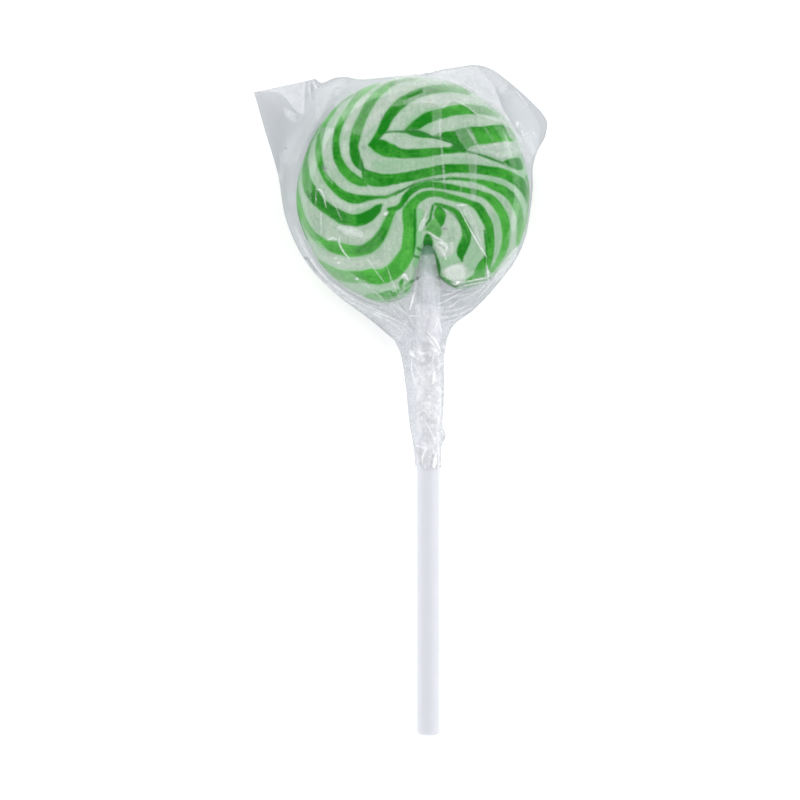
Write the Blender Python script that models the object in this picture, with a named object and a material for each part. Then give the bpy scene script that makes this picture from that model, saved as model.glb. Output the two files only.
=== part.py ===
"""Wrapped swirl lollipop: a pressed boiled-sugar head on a stick, in a clear film bag gathered round the stick.

It lies on its back, face up. The stick runs towards -Y from inside the head. The origin is on the
surface it lies on, below the stick's axis and level with the middle of the head.
Sizes and plan positions are in millimetres, and MM turns them into Blender's metres.
"""

import math

import bmesh
import bpy
import numpy as np
from mathutils import Matrix
from mathutils.geometry import delaunay_2d_cdt

MM = 0.001

# Head: a rope of pulled sugar, folded on itself and pressed flat in a mould.
HEAD_THICKNESS = 8.6
HEAD_ROUNDING = 3.4  # how far in from the rim the rounding reaches
HEAD_RIM_BAND = 0.8  # height of the upright band at the very rim
HEAD_RIM = [
    (1.8, -15.2), (3.2, -16.3), (5.2, -17.1), (7.7, -16.9), (10.6, -15.4), (13.7, -12.2),
    (16.0, -8.3), (17.1, -3.5), (17.2, 1.5), (16.2, 6.0), (14.2, 10.4), (11.2, 14.1),
    (7.2, 17.2), (2.4, 19.0), (-3.0, 19.4), (-8.2, 18.6), (-13.2, 16.2), (-17.6, 12.4),
    (-20.6, 7.2), (-22.3, 2.4), (-22.9, -2.4), (-22.0, -6.6), (-19.6, -11.0), (-15.6, -15.2),
    (-11.0, -18.2), (-6.6, -19.4), (-4.0, -18.7), (-2.6, -16.8),
]
# The two ends of the rope leave a slot between them, and the stick shows in it.
HEAD_SLOT = [
    (-2.6, -16.8), (-2.0, -14.0), (-1.3, -11.2), (-0.7, -9.4), (-0.1, -8.4), (0.5, -9.6),
    (1.1, -12.4), (1.8, -15.2),
]
# Creases where one fold of the rope lies against the next.
HEAD_CREASES = [
    [(-9.0, 9.4), (-5.0, 10.1), (-1.0, 10.0), (2.0, 8.8), (6.0, 7.0), (10.0, 5.7), (14.0, 4.0), (16.7, 2.2)],
    [(-10.0, -1.4), (-6.0, -0.5), (-2.0, 1.4), (3.5, 2.0), (8.0, 1.7), (11.0, 0.6)],
    [(-11.0, 8.0), (-11.4, 4.5), (-11.0, 1.0)],
]
CREASE_DEPTH = 0.45
CREASE_HALF_WIDTH = 1.0

# Stick: one rod with softened ends, pushed into the head along its middle plane.
STICK_DIAMETER = 4.0
STICK_LENGTH = 100.0
STICK_FOOT_Y = -94.0
STICK_END_RADIUS = 0.7
STICK_SIDES = 40

# Film bag: flat beyond the head, tight over it, gathered round the stick below it.
FILM_WALL = 0.4
GAP = 0.3  # between one solid and the next
FLAP_THICKNESS = 0.8
FILM_LIFT = 0.6  # how far in from the head's rim the film leaves the head
BAG_RIGHT_SIDE = [
    (2.9, -48.0), (2.9, -40.0), (2.9, -33.0), (2.9, -28.0), (3.4, -25.0), (7.0, -21.6),
    (10.8, -18.2), (14.2, -13.9), (16.6, -9.6), (18.0, -4.2), (18.3, 1.0), (18.6, 6.4),
    (20.2, 10.0), (20.0, 13.4), (16.4, 16.6), (12.0, 20.5), (7.3, 21.7),
]
BAG_TOP_EDGE = [(7.3, 21.7), (2.0, 20.8), (-3.0, 20.3), (-9.0, 19.8), (-14.4, 19.5), (-18.6, 18.7), (-30.3, 16.9)]
BAG_LEFT_SIDE = [
    (-30.3, 16.9), (-28.2, 8.5), (-26.3, 1.0), (-24.4, -5.6), (-21.9, -10.8), (-17.5, -16.6),
    (-11.5, -21.1), (-6.4, -25.2), (-4.9, -28.0), (-4.0, -33.0), (-3.3, -40.0), (-2.9, -48.0),
]
BAG_TAIL_END = [(-2.9, -48.0), (2.9, -48.0)]

HEAD_HALF = HEAD_THICKNESS / 2
AXIS_Z = HEAD_HALF + GAP + FILM_WALL  # height of the head's middle plane and of the stick's axis
STICK_RADIUS = STICK_DIAMETER / 2
TAIL_RADIUS = STICK_RADIUS + GAP + FILM_WALL
CURVE_STEP = 1.1
GRID_STEP = 2.2

SUGAR = ((0.62, 0.78, 0.58), 0.15, 1.0)  # base colour, roughness, alpha
PAPER = ((0.86, 0.87, 0.90), 0.40, 1.0)
FILM = ((0.86, 0.88, 0.92), 0.10, 0.3)
GUIDE = ((1.0, 1.0, 1.0), 1.0, 1.0)


def clear_scene():
    for old in list(bpy.data.objects):
        bpy.data.objects.remove(old)


def curve_through(points):
    """Points about CURVE_STEP apart on a smooth open curve through the given ones, without the last."""
    p = np.array(points, float)
    tangent = (np.vstack([p[1:], p[-1:]]) - np.vstack([p[:1], p[:-1]])) / 2
    made = []
    for i in range(len(p) - 1):
        steps = max(1, round(float(np.linalg.norm(p[i + 1] - p[i])) / CURVE_STEP))
        for t in np.arange(steps) / steps:
            made.append(
                (2 * t**3 - 3 * t**2 + 1) * p[i] + (t**3 - 2 * t**2 + t) * tangent[i]
                + (3 * t**2 - 2 * t**3) * p[i + 1] + (t**3 - t**2) * tangent[i + 1]
            )
    return np.array(made)


def outline(*sides):
    """One closed anticlockwise loop of smooth sides, each starting at the corner where the last one ended."""
    return np.vstack([curve_through(side) for side in sides])


def distance_to(points, starts, ends):
    """Distance from each point to the nearest of the straight runs between starts and ends."""
    run = ends - starts
    rel = points[:, None] - starts
    share = np.clip((rel * run).sum(2) / (run * run).sum(1), 0, 1)
    return np.linalg.norm(rel - share[..., None] * run, axis=2).min(1)


def depth_inside(points, loop):
    """Distance from each point to the loop: above 0 inside it, below 0 outside."""
    ends = np.roll(loop, -1, 0)
    nearest = distance_to(points, loop, ends)
    run = ends - loop
    x, y = points[:, :1], points[:, 1:]
    spans = (loop[:, 1] > y) != (ends[:, 1] > y)
    drop = np.where(run[:, 1] == 0, 1e-12, run[:, 1])
    crossings = (spans & (x < loop[:, 0] + (y - loop[:, 1]) * run[:, 0] / drop)).sum(1)
    return np.where(crossings % 2 == 1, nearest, -nearest)


def inset_ring(loop, depth):
    """Points on the curve that runs at this depth inside the loop, or outside it for a depth below 0."""
    along = np.roll(loop, -1, 0) - np.roll(loop, 1, 0)
    along /= np.linalg.norm(along, axis=1)[:, None]
    ring = loop + depth * np.stack([-along[:, 1], along[:, 0]], 1)
    return ring[np.abs(depth_inside(ring, loop)) > 0.97 * abs(depth)]


def grid_within(loop, least_depth):
    """A square grid of points at least this deep inside the loop."""
    low, high = loop.min(0), loop.max(0)
    x, y = (np.arange(low[k] + GRID_STEP / 2, high[k], GRID_STEP) for k in (0, 1))
    grid = np.stack(np.meshgrid(x, y), 2).reshape(-1, 2)
    return grid[depth_inside(grid, loop) > least_depth]


def spaced(points, apart):
    """The points, leaving out each one closer than this to an earlier one."""
    kept = []
    for point in points:
        if not kept or np.linalg.norm(np.array(kept) - point, axis=1).min() > apart:
            kept.append(point)
    return np.array(kept)


def linked(name, bm, look):
    """An object of this bmesh, smooth but for its sharp edges, with a material of its own."""
    mesh = bpy.data.meshes.new(name)
    bm.to_mesh(mesh)
    bm.free()
    mesh.shade_smooth()
    mesh.set_sharp_from_angle(angle=math.radians(40))
    base, roughness, alpha = look
    material = bpy.data.materials.new(name)
    material.use_nodes = True
    shader = material.node_tree.nodes["Principled BSDF"]
    shader.inputs["Base Color"].default_value = (*base, 1)
    shader.inputs["Roughness"].default_value = roughness
    shader.inputs["Alpha"].default_value = alpha
    mesh.materials.append(material)
    obj = bpy.data.objects.new(name, mesh)
    bpy.context.scene.collection.objects.link(obj)
    return obj


def pillow(name, loop, inner, half_height, look):
    """A closed body with this outline, its two faces half_height(points) above and below the middle plane."""
    count = len(loop)
    edges = [(i, (i + 1) % count) for i in range(count)]
    plan = [tuple(p) for p in loop] + [tuple(p) for p in inner]
    points, _, faces, _, _, _ = delaunay_2d_cdt(plan, edges, [], 1, 1e-6)
    flat = np.array([tuple(p) for p in points])
    height = half_height(flat)
    bm = bmesh.new()
    front, back = (
        [bm.verts.new((x * MM, y * MM, (AXIS_Z + side * h) * MM)) for (x, y), h in zip(flat, height)]
        for side in (1, -1)
    )
    for face in faces:
        bm.faces.new([front[i] for i in face])
        bm.faces.new([back[i] for i in reversed(face)])
    for i, j in edges:
        bm.faces.new([front[j], front[i], back[i], back[j]])
    bmesh.ops.recalc_face_normals(bm, faces=bm.faces)
    return linked(name, bm, look)


def rod(name, radius, foot_y, top_y, end_radius, look):
    """A round rod along the stick's axis. A bevel rounds its ends."""
    bm = bmesh.new()
    bmesh.ops.create_cone(
        bm, cap_ends=True, segments=STICK_SIDES, radius1=radius * MM, radius2=radius * MM,
        depth=(top_y - foot_y) * MM,
    )
    bmesh.ops.rotate(bm, verts=bm.verts, matrix=Matrix.Rotation(-math.pi / 2, 3, "X"))
    middle = ((top_y + foot_y) / 2 * MM, AXIS_Z * MM)
    bmesh.ops.translate(bm, verts=bm.verts, vec=(0, *middle))
    if end_radius:
        rims = [e for e in bm.edges if abs(e.verts[0].co.y - e.verts[1].co.y) < 1e-6]
        bmesh.ops.bevel(
            bm, geom=rims, offset=end_radius * MM, segments=3, profile=0.5, affect="EDGES",
        )
    return linked(name, bm, look)


def cut(obj, cutter):
    """Takes the cutter out of obj. The cutter stays as a hidden guide."""
    cutter.hide_render = True
    cutter.display_type = "WIRE"
    modifier = obj.modifiers.new(cutter.name, "BOOLEAN")
    modifier.operation = "DIFFERENCE"
    modifier.solver = "EXACT"
    modifier.object = cutter


def head_half_height(depth, grown):
    """Half the thickness of the head, grown by this much all round, this deep inside its own outline."""
    share = np.clip((depth + grown) / (HEAD_ROUNDING + grown), 0, 1)
    rounded = (HEAD_HALF + grown) * np.sqrt(1 - (1 - share) ** 2)
    return np.maximum(rounded, HEAD_RIM_BAND / 2 + grown)


def crease_drop(points):
    """How far the creases lower the surface of the head at each point."""
    nearest = np.full(len(points), np.inf)
    for crease in HEAD_CREASES:
        line = curve_through(crease)
        nearest = np.minimum(nearest, distance_to(points, line[:-1], line[1:]))
    return CREASE_DEPTH * np.clip(1 - nearest / CREASE_HALF_WIDTH, 0, 1)


def make_candy():
    """The sugar head, with the slot between the rope's ends and the blind hole that holds the stick."""
    loop = outline(HEAD_RIM, HEAD_SLOT)
    inner = []
    for crease in HEAD_CREASES:
        line = curve_through(crease)
        along = np.gradient(line, axis=0)
        along /= np.linalg.norm(along, axis=1)[:, None]
        across = np.stack([-along[:, 1], along[:, 0]], 1)
        inner += [line + side * CREASE_HALF_WIDTH * across for side in (0, -1, 1)]
    inner += [inset_ring(loop, 0.35), inset_ring(loop, 1.0), inset_ring(loop, 2.0)[::2]]
    inner += [inset_ring(loop, HEAD_ROUNDING)[::2], grid_within(loop, HEAD_ROUNDING + 0.8)]
    inner = spaced(np.vstack(inner), 0.45)
    inner = inner[depth_inside(inner, loop) > 0.3]

    def half_height(points):
        return head_half_height(depth_inside(points, loop), 0) - crease_drop(points)

    candy = pillow("candy", loop, inner, half_height, SUGAR)
    stick_top = STICK_FOOT_Y + STICK_LENGTH
    cut(candy, rod("stick_hole", STICK_RADIUS + GAP, -30, stick_top + GAP, 0, GUIDE))
    return candy


def rim_under_film():
    """The head's rim as the film meets it, straight across between the lowest points of its two lobes."""
    rim = curve_through(HEAD_RIM)
    half = len(rim) // 2
    right_foot, left_foot = rim[:half, 1].argmin(), half + rim[half:, 1].argmin()
    return np.vstack([rim[right_foot:left_foot], curve_through([rim[left_foot], rim[right_foot]])])


def make_wrapper():
    """The film bag as one solid of its outer shape, hollowed for the head and stick, open round the stick."""
    bag = outline(BAG_RIGHT_SIDE, BAG_TOP_EDGE, BAG_LEFT_SIDE, BAG_TAIL_END)
    head = rim_under_film()
    skin = GAP + FILM_WALL
    leaves_at = head_half_height(np.array([FILM_LIFT]), skin)[0]

    def half_height(points):
        out, into = depth_inside(points, bag), depth_inside(points, head)
        share = out / np.maximum(out + FILM_LIFT - into, 1e-9)
        slope = FLAP_THICKNESS / 2 + (leaves_at - FLAP_THICKNESS / 2) * np.clip(share, 0, 1)
        round_stick = np.sqrt(np.maximum(TAIL_RADIUS**2 - points[:, 0] ** 2, 0))
        slope = np.where(points[:, 1] < 0, np.maximum(slope, round_stick), slope)
        return np.where(into > FILM_LIFT, head_half_height(into, skin), slope)

    over_head = [inset_ring(head, depth) for depth in (FILM_LIFT, 1.6, -0.8)]
    over_head.append(inset_ring(head, HEAD_ROUNDING)[::2])
    tail_x = TAIL_RADIUS * np.sin(np.radians([-72, -45, -18, 18, 45, 72]))
    tail = [(x, y) for y in np.arange(-47.2, -17, 2.6) for x in tail_x]
    inner = spaced(np.vstack([*over_head, tail, grid_within(bag, 1.2)]), 0.6)
    inner = inner[depth_inside(inner, bag) > 0.25]
    wrapper = pillow("wrapper", bag, inner, half_height, FILM)

    wall = inset_ring(head, -GAP)
    rounding = [inset_ring(head, depth) for depth in (0.1, 0.8, 1.9)]
    rounding.append(inset_ring(head, HEAD_ROUNDING)[::2])
    inner = spaced(np.vstack([*rounding, grid_within(head, HEAD_ROUNDING + 1)]), 0.3)
    cut(wrapper, pillow(
        "head_space", wall, inner, lambda p: head_half_height(depth_inside(p, head), GAP), GUIDE,
    ))
    cut(wrapper, rod("stick_space", STICK_RADIUS + GAP, -60, 0, 0, GUIDE))
    return wrapper


def main():
    clear_scene()
    make_candy()
    rod("stick", STICK_RADIUS, STICK_FOOT_Y, STICK_FOOT_Y + STICK_LENGTH, STICK_END_RADIUS, PAPER)
    make_wrapper()


main()
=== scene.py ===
import math

import bpy
import numpy as np
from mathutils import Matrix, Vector
from mathutils.geometry import delaunay_2d_cdt


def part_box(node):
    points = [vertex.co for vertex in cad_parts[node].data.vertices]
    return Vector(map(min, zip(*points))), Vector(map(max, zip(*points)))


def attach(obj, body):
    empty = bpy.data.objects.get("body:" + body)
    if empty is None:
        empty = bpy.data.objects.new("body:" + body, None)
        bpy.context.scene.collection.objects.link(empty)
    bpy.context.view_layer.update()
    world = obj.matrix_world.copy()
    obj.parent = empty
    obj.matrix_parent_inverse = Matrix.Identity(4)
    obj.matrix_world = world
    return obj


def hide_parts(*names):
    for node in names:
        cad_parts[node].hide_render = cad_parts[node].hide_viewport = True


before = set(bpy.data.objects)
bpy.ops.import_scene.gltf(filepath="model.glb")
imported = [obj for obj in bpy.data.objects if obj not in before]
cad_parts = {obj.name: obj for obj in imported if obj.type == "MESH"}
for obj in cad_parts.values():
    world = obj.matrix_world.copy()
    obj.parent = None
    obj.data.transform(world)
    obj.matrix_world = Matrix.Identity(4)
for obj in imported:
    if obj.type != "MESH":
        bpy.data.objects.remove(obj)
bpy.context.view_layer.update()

MM = 0.001


# ---- Sugar head ----------------------------------------------------------------------------------
# A rope of satin white boiled sugar with streaks of clear green pulled through it. The hot rope is
# folded on itself over the stick's end and pressed flat in a mould, so the streaks sweep round each
# fold, the folds meet in creases, and the rope's two ends leave a slot beside the stick.

HEAD_RIM = [
    (1.8, -15.0), (3.2, -16.0), (5.2, -17.0), (7.6, -16.7), (10.4, -15.5), (12.6, -13.5),
    (14.8, -11.0), (16.4, -7.8), (17.3, -3.2), (17.4, 0.6), (16.6, 4.7), (15.3, 8.9),
    (13.1, 12.5), (9.6, 15.5), (5.4, 18.0), (1.0, 19.2), (-3.0, 19.6), (-7.4, 18.8),
    (-12.0, 17.2), (-15.8, 14.5), (-19.0, 10.7), (-21.2, 6.2), (-22.6, 1.2), (-22.7, -3.0),
    (-21.5, -7.5), (-19.0, -12.2), (-15.8, -15.6), (-11.8, -18.1), (-7.8, -19.4), (-4.9, -18.9),
    (-3.2, -17.7), (-2.6, -16.2),
]
HEAD_SLOT = [
    (-2.6, -16.2), (-2.2, -14.9), (-1.7, -13.0), (-1.25, -11.5), (-0.95, -10.4), (-0.15, -9.7),
    (0.65, -10.3), (0.9, -11.1), (1.2, -12.3), (1.5, -13.6), (1.8, -15.0),
]
HEAD_ROUNDING = 3.4  # how far in from the rim the rounding reaches
SLOT_ROUNDING = 1.5  # the same beside the slot
HEAD_RIM_BAND = 0.8  # height of the upright band at the very rim
SLOT_BAND = 3.3  # the same beside the slot, where the sugar lies against the stick
GRAIN = 0.21  # spacing of the head's vertices
SOAK = 0.12  # how far the green has soaked into the white beside it
LOOK_FROM, LOOK_HEIGHT = np.array([-4.9, -36.2]), 460.0  # the eye's place over the head's middle plane

# Creases where one fold of the rope lies against the next.
CREASES = [
    [(-9.0, 9.4), (-7.0, 10.05), (-5.0, 10.15), (-3.0, 10.2), (-1.0, 10.0), (0.0, 9.4), (2.0, 8.8),
     (4.0, 8.2), (6.0, 7.0), (8.0, 6.5), (10.0, 5.7), (12.0, 4.9), (14.0, 4.0), (16.7, 2.2)],
    [(-10.0, -1.4), (-8.0, -1.1), (-6.0, -0.5), (-4.0, 0.3), (-2.0, 1.4), (0.0, 1.9), (3.5, 2.0),
     (7.0, 1.8), (10.0, 1.1)],
    [(-11.0, 8.0), (-11.4, 4.5), (-11.0, 1.0)],
    [(1.0, -2.6), (3.0, -3.3), (5.0, -5.0), (6.6, -7.6), (7.3, -9.6)],
]
CREASE_DEPTH = 0.4
CREASE_HALF_WIDTH = 0.9
CREASE_FADE = 3.0
STREAK_SINK = 0.07  # the clear green shrinks a little more than the white as it cools
SWELL_DEPTH = 0.09  # slow unevenness of the pressed face
SWELLS = [((0.9, 0.35), 0.4), ((-0.3, 0.8), 1.7), ((0.55, -0.6), 3.1), ((1.5, 0.9), 5.0)]

# Green streaks. Each is how deep its green is, from 0 to 1, and a smooth line of (x, y, width). A few thin dark lines
# among them are painted shade, noted where they stand.
STREAKS = [
    # Its thin upper end along the rim is painted shade; the rest is a green streak.
    (0.8, [(-18.7, 11.3, 0.3), (-20.2, 8.7, 0.35), (-21.05, 5.9, 0.4), (-21.15, 3.0, 0.9),
           (-20.5, 0.3, 1.6), (-19.6, -1.2, 1.7), (-17.3, -3.3, 1.5), (-16.0, -4.1, 1.6), (-14.5, -4.9, 1.75),
           (-13.0, -5.2, 1.65), (-11.8, -5.1, 1.7), (-10.5, -4.6, 1.6), (-9.4, -3.8, 1.3), (-8.6, -3.0, 0.9),
           (-8.2, -2.6, 0.3)]),
    (0.7, [(-13.2, 16.5, 0.25), (-15.1, 15.2, 0.3), (-17.0, 12.7, 0.35), (-18.2, 10.7, 0.6),
           (-18.8, 8.5, 0.8), (-18.9, 5.8, 0.85), (-18.4, 3.5, 0.7), (-17.0, 1.3, 0.9), (-15.0, -0.6, 1.1),
           (-12.8, -1.5, 1.25), (-11.5, -1.5, 1.0), (-10.3, -1.35, 0.7), (-9.0, -1.25, 0.35),
           (-7.0, -1.1, 0.2), (-5.0, -0.1, 0.1)]),
    (0.8, [(-8.8, 18.4, 0.3), (-10.2, 17.7, 0.6), (-12.2, 16.2, 0.7), (-13.8, 13.9, 0.7),
           (-15.1, 11.8, 0.85), (-15.95, 8.7, 0.85), (-15.6, 5.5, 1.1), (-14.2, 3.1, 1.25),
           (-12.2, 1.6, 1.2), (-11.4, 1.25, 0.9), (-10.9, 1.0, 0.4)]),
    (0.9, [(-2.0, 19.3, 0.3), (-5.6, 18.75, 0.5), (-8.2, 17.1, 0.9), (-10.0, 15.1, 1.2),
           (-11.2, 12.9, 1.2), (-12.5, 9.6, 1.4), (-12.85, 7.2, 1.2), (-12.3, 5.0, 1.2), (-11.8, 4.2, 0.9),
           (-11.3, 3.6, 0.5)]),
    (0.9, [(7.1, 16.65, 0.2), (6.0, 17.15, 0.7), (4.8, 17.5, 0.9), (1.0, 17.4, 1.1), (-2.4, 16.4, 1.2),
            (-5.1, 14.7, 1.4), (-7.0, 12.4, 1.3), (-8.2, 10.1, 1.1), (-9.3, 8.7, 0.6), (-10.2, 7.8, 0.2)]),
    (0.7, [(-10.0, 7.8, 0.5), (-9.4, 7.75, 1.5), (-8.5, 7.6, 2.0), (-7.2, 7.0, 2.1), (-6.0, 6.7, 1.8),
            (-5.0, 6.4, 1.4), (-4.0, 6.3, 1.25), (-2.0, 6.35, 1.25), (0.0, 6.5, 1.1), (2.0, 6.75, 0.9),
            (4.0, 6.9, 0.8), (6.3, 6.8, 0.4)]),
    (0.8, [(-11.2, 3.5, 0.5), (-10.8, 2.9, 1.3), (-10.2, 2.3, 1.9), (-9.3, 1.85, 2.0), (-8.0, 1.7, 1.8),
           (-6.5, 1.85, 1.55), (-3.5, 2.35, 1.35), (-0.5, 2.95, 1.25), (2.5, 3.6, 1.2), (6.5, 3.75, 1.2),
           (10.5, 3.35, 1.25), (12.5, 2.95, 1.3), (14.0, 2.4, 1.4), (15.1, 1.75, 1.5), (16.0, 1.0, 1.5),
           (16.9, -0.7, 0.9), (17.2, -2.2, 0.4)]),
    # Painted shade: a thin dark line along the right rim, where it rounds away.
    (0.9, [(16.9, 2.4, 0.2), (17.35, 0.5, 0.25), (17.4, -1.5, 0.25), (17.15, -3.8, 0.25), (16.65, -6.1, 0.2),
           (16.0, -7.6, 0.15)]),
    # Painted shade: a thin dark line along the left rim, where it rounds away.
    (0.9, [(-22.2, 4.5, 0.1), (-22.65, 1.0, 0.15), (-22.7, -2.5, 0.15), (-22.1, -5.5, 0.15), (-21.0, -8.4, 0.1)]),
    (0.55, [(3.4, 2.05, 0.15), (5.0, 2.02, 0.3), (8.0, 1.65, 0.4), (10.5, 1.0, 0.85), (11.7, 0.55, 1.1),
            (12.9, 0.0, 1.15), (13.9, -0.75, 1.2), (14.8, -1.9, 1.2), (15.75, -4.2, 0.95),
            (15.8, -7.0, 0.8), (15.4, -9.4, 0.4)]),
    (0.65, [(-22.75, 0.3, 0.3), (-22.2, -3.0, 0.6), (-20.9, -6.3, 0.8), (-19.9, -7.7, 0.9), (-18.6, -8.8, 1.1)]),
    (0.3, [(-18.8, -8.7, 1.0), (-18.0, -9.2, 1.2), (-17.3, -9.5, 1.4), (-16.0, -9.9, 1.6), (-13.3, -10.5, 1.6), (-12.0, -10.5, 1.4),
           (-10.8, -10.2, 1.5), (-9.8, -9.6, 1.6), (-8.9, -8.8, 1.6), (-8.1, -7.7, 1.4), (-7.5, -6.6, 1.2),
           (-6.6, -4.4, 0.9), (-6.2, -3.6, 0.8)]),
    (0.8, [(-6.9, -3.3, 0.3), (-6.2, -3.25, 0.5), (-5.5, -3.1, 0.6), (-4.8, -2.6, 0.6), (-4.2, -1.7, 0.8),
            (-3.5, -0.7, 0.85), (-2.6, 0.2, 0.9), (-1.6, 0.75, 0.9), (-0.3, 1.0, 0.9), (2.5, 0.75, 0.8),
            (5.5, 0.2, 0.7), (8.6, -0.45, 0.7)]),
    (0.4, [(8.6, -0.45, 0.7), (9.8, -0.9, 0.85), (10.9, -1.6, 1.05), (11.9, -2.7, 1.2), (12.7, -4.0, 1.2),
            (13.2, -5.3, 1.2), (13.4, -6.7, 1.15), (13.4, -8.2, 1.05), (12.8, -10.8, 0.8), (12.2, -12.0, 0.6),
            (10.9, -14.0, 0.3)]),
    (0.3, [(-18.8, -12.4, 0.6), (-17.5, -13.5, 1.0), (-16.0, -14.3, 1.3), (-14.0, -14.9, 1.6),
            (-12.0, -15.0, 1.7), (-10.0, -14.9, 2.1), (-8.0, -14.9, 2.1), (-6.0, -13.9, 2.3),
            (-4.6, -12.3, 2.3), (-3.6, -10.5, 2.0), (-3.3, -8.5, 1.9), (-3.2, -6.0, 1.9),
            (-3.2, -3.4, 1.9), (-2.6, -2.3, 1.4), (-1.8, -1.5, 1.1)]),
    (0.6, [(-1.8, -1.5, 1.1), (-0.8, -0.9, 1.0), (0.4, -0.6, 0.85), (1.6, -0.65, 0.75), (4.5, -1.4, 0.8),
            (7.3, -2.2, 0.7), (8.6, -3.0, 1.1), (9.3, -4.0, 1.2), (10.35, -6.0, 1.15), (10.7, -8.7, 1.1),
            (10.6, -11.2, 0.9), (10.4, -13.5, 0.4)]),
    (0.75, [(1.2, -2.4, 0.2), (2.1, -2.6, 0.35), (3.6, -3.1, 0.5), (4.9, -3.9, 0.7), (5.85, -5.2, 0.95),
            (6.45, -6.6, 1.15), (6.6, -7.9, 1.3), (6.2, -9.2, 1.4), (5.75, -10.3, 1.4), (5.65, -11.2, 1.0),
            (5.8, -12.1, 0.2)]),
    (0.85, [(1.8, -2.9, 0.5), (1.9, -3.8, 1.5), (2.1, -4.8, 1.4), (2.2, -5.6, 0.8), (2.1, -6.2, 0.2)]),
    (1.0, [(0.8, -2.6, 0.12), (0.5, -3.8, 0.2), (0.2, -5.2, 0.2), (-0.4, -6.0, 0.12)]),
    (0.6, [(9.4, -13.7, 0.4), (9.0, -14.5, 1.3), (8.0, -15.2, 1.0), (6.8, -15.7, 0.5)]),
    (1.0, [(9.8, -11.4, 0.2), (9.5, -12.8, 0.25), (8.9, -13.5, 0.2)]),
    (1.0, [(9.7, -7.0, 0.1), (9.95, -9.0, 0.2), (10.1, -11.5, 0.2)]),
    # Painted shade: dark green lines in the shadow beside the slot and under the right lobe's rim.
    (1.2, [(0.9, -10.6, 0.15), (1.5, -12.2, 0.35), (1.75, -13.6, 0.4), (1.75, -14.9, 0.35)]),
    (1.2, [(1.9, -15.0, 0.3), (2.9, -15.5, 0.45), (4.0, -16.2, 0.5), (5.0, -16.8, 0.2)]),
    (0.5, [(-1.9, -9.9, 0.12), (-1.4, -10.3, 0.16), (-1.1, -10.3, 0.1)]),
    (0.5, [(-2.4, -11.3, 0.12), (-1.7, -11.6, 0.16), (-1.4, -11.5, 0.1)]),
    # Painted shade: these thin dark green lines lie in the creases between the folds.
    (1.2, [(-7.6, 10.0, 0.06), (-5.6, 10.15, 0.08), (-3.9, 10.1, 0.14), (-2.7, 10.3, 0.2), (-1.2, 10.0, 0.2),
           (0.8, 9.2, 0.2), (2.3, 8.9, 0.16), (4.2, 8.2, 0.1)]),
    (1.1, [(-12.3, 7.4, 0.1), (-11.9, 6.0, 0.14), (-11.45, 4.5, 0.14), (-11.25, 3.0, 0.14), (-11.2, 1.5, 0.1)]),
    (1.1, [(6.3, 6.85, 0.12), (8.5, 6.25, 0.1), (11.0, 5.4, 0.1), (13.0, 4.7, 0.1)]),
    (0.9, [(-5.8, -0.8, 0.1), (-3.5, 0.5, 0.12), (-1.0, 1.4, 0.12), (1.0, 1.75, 0.12), (3.4, 1.95, 0.15)]),
    (0.3, [(-10.5, -18.3, 0.6), (-8.5, -18.4, 0.9), (-6.8, -18.1, 1.2), (-5.6, -17.6, 0.8)]),
    (0.7, [(-4.5, -15.5, 0.2), (-4.75, -16.3, 0.4), (-4.6, -17.0, 0.2)]),
    (0.7, [(-3.9, -16.6, 0.15), (-3.3, -16.1, 0.35), (-2.7, -15.6, 0.15)]),
    (0.7, [(-4.1, -17.5, 0.1), (-3.5, -17.0, 0.25), (-3.1, -16.5, 0.1)]),
]
# Broad green fields, where a streak is seen on its flat. Each is how deep its green is, the most its
# depth inside counts for, which keeps a wash thin, and its outline.
FIELDS = [
    (0.5, 9.0, [(-4.3, 10.2), (-2.5, 12.1), (-0.5, 13.4), (0.6, 13.75), (3.5, 14.45), (6.3, 14.85), (8.0, 14.8),
           (10.0, 14.3), (11.7, 13.4), (12.3, 12.8), (10.0, 13.0), (7.0, 13.1), (4.0, 12.8), (2.0, 12.2),
           (0.3, 11.6), (-1.7, 10.6)]),
    (0.95, 9.0, [(-4.2, 10.1), (-3.3, 10.25), (-1.0, 9.95), (0.0, 9.45), (1.8, 9.05), (-0.5, 9.0), (-3.0, 9.5)]),
    (0.88, 9.0, [(0.5, 9.3), (2.0, 9.85), (4.5, 10.35), (7.0, 10.95), (9.2, 11.0), (11.5, 11.3), (13.0, 11.25),
           (13.8, 10.9), (14.8, 9.5), (15.1, 8.8), (13.0, 8.4), (11.0, 8.1), (9.0, 7.85), (7.2, 7.4),
           (6.2, 6.6), (4.2, 6.8), (3.8, 7.4), (4.2, 7.85), (3.0, 8.4), (1.0, 9.0)]),
    (1.1, 9.0, [(12.7, 4.85), (13.3, 5.2), (15.1, 5.6), (15.7, 5.6), (16.3, 4.4), (16.3, 3.7), (15.8, 3.5),
            (14.2, 4.05), (13.4, 4.5)]),
    (1.0, 9.0, [(-0.9, -8.9), (-0.6, -7.7), (-0.3, -7.4), (0.3, -7.8), (0.6, -8.3), (0.7, -9.6), (0.3, -10.2),
           (-0.7, -10.2)]),
    (0.5, 9.0, [(-0.8, -6.9), (0.2, -5.6), (1.0, -4.8), (2.1, -6.2), (2.4, -7.2), (1.9, -8.1), (0.8, -7.5)]),
    (0.6, 9.0, [(8.6, -12.6), (9.6, -11.6), (9.9, -12.8), (9.7, -14.4), (8.0, -15.5), (6.9, -15.7), (7.7, -14.5)]),
]
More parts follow.
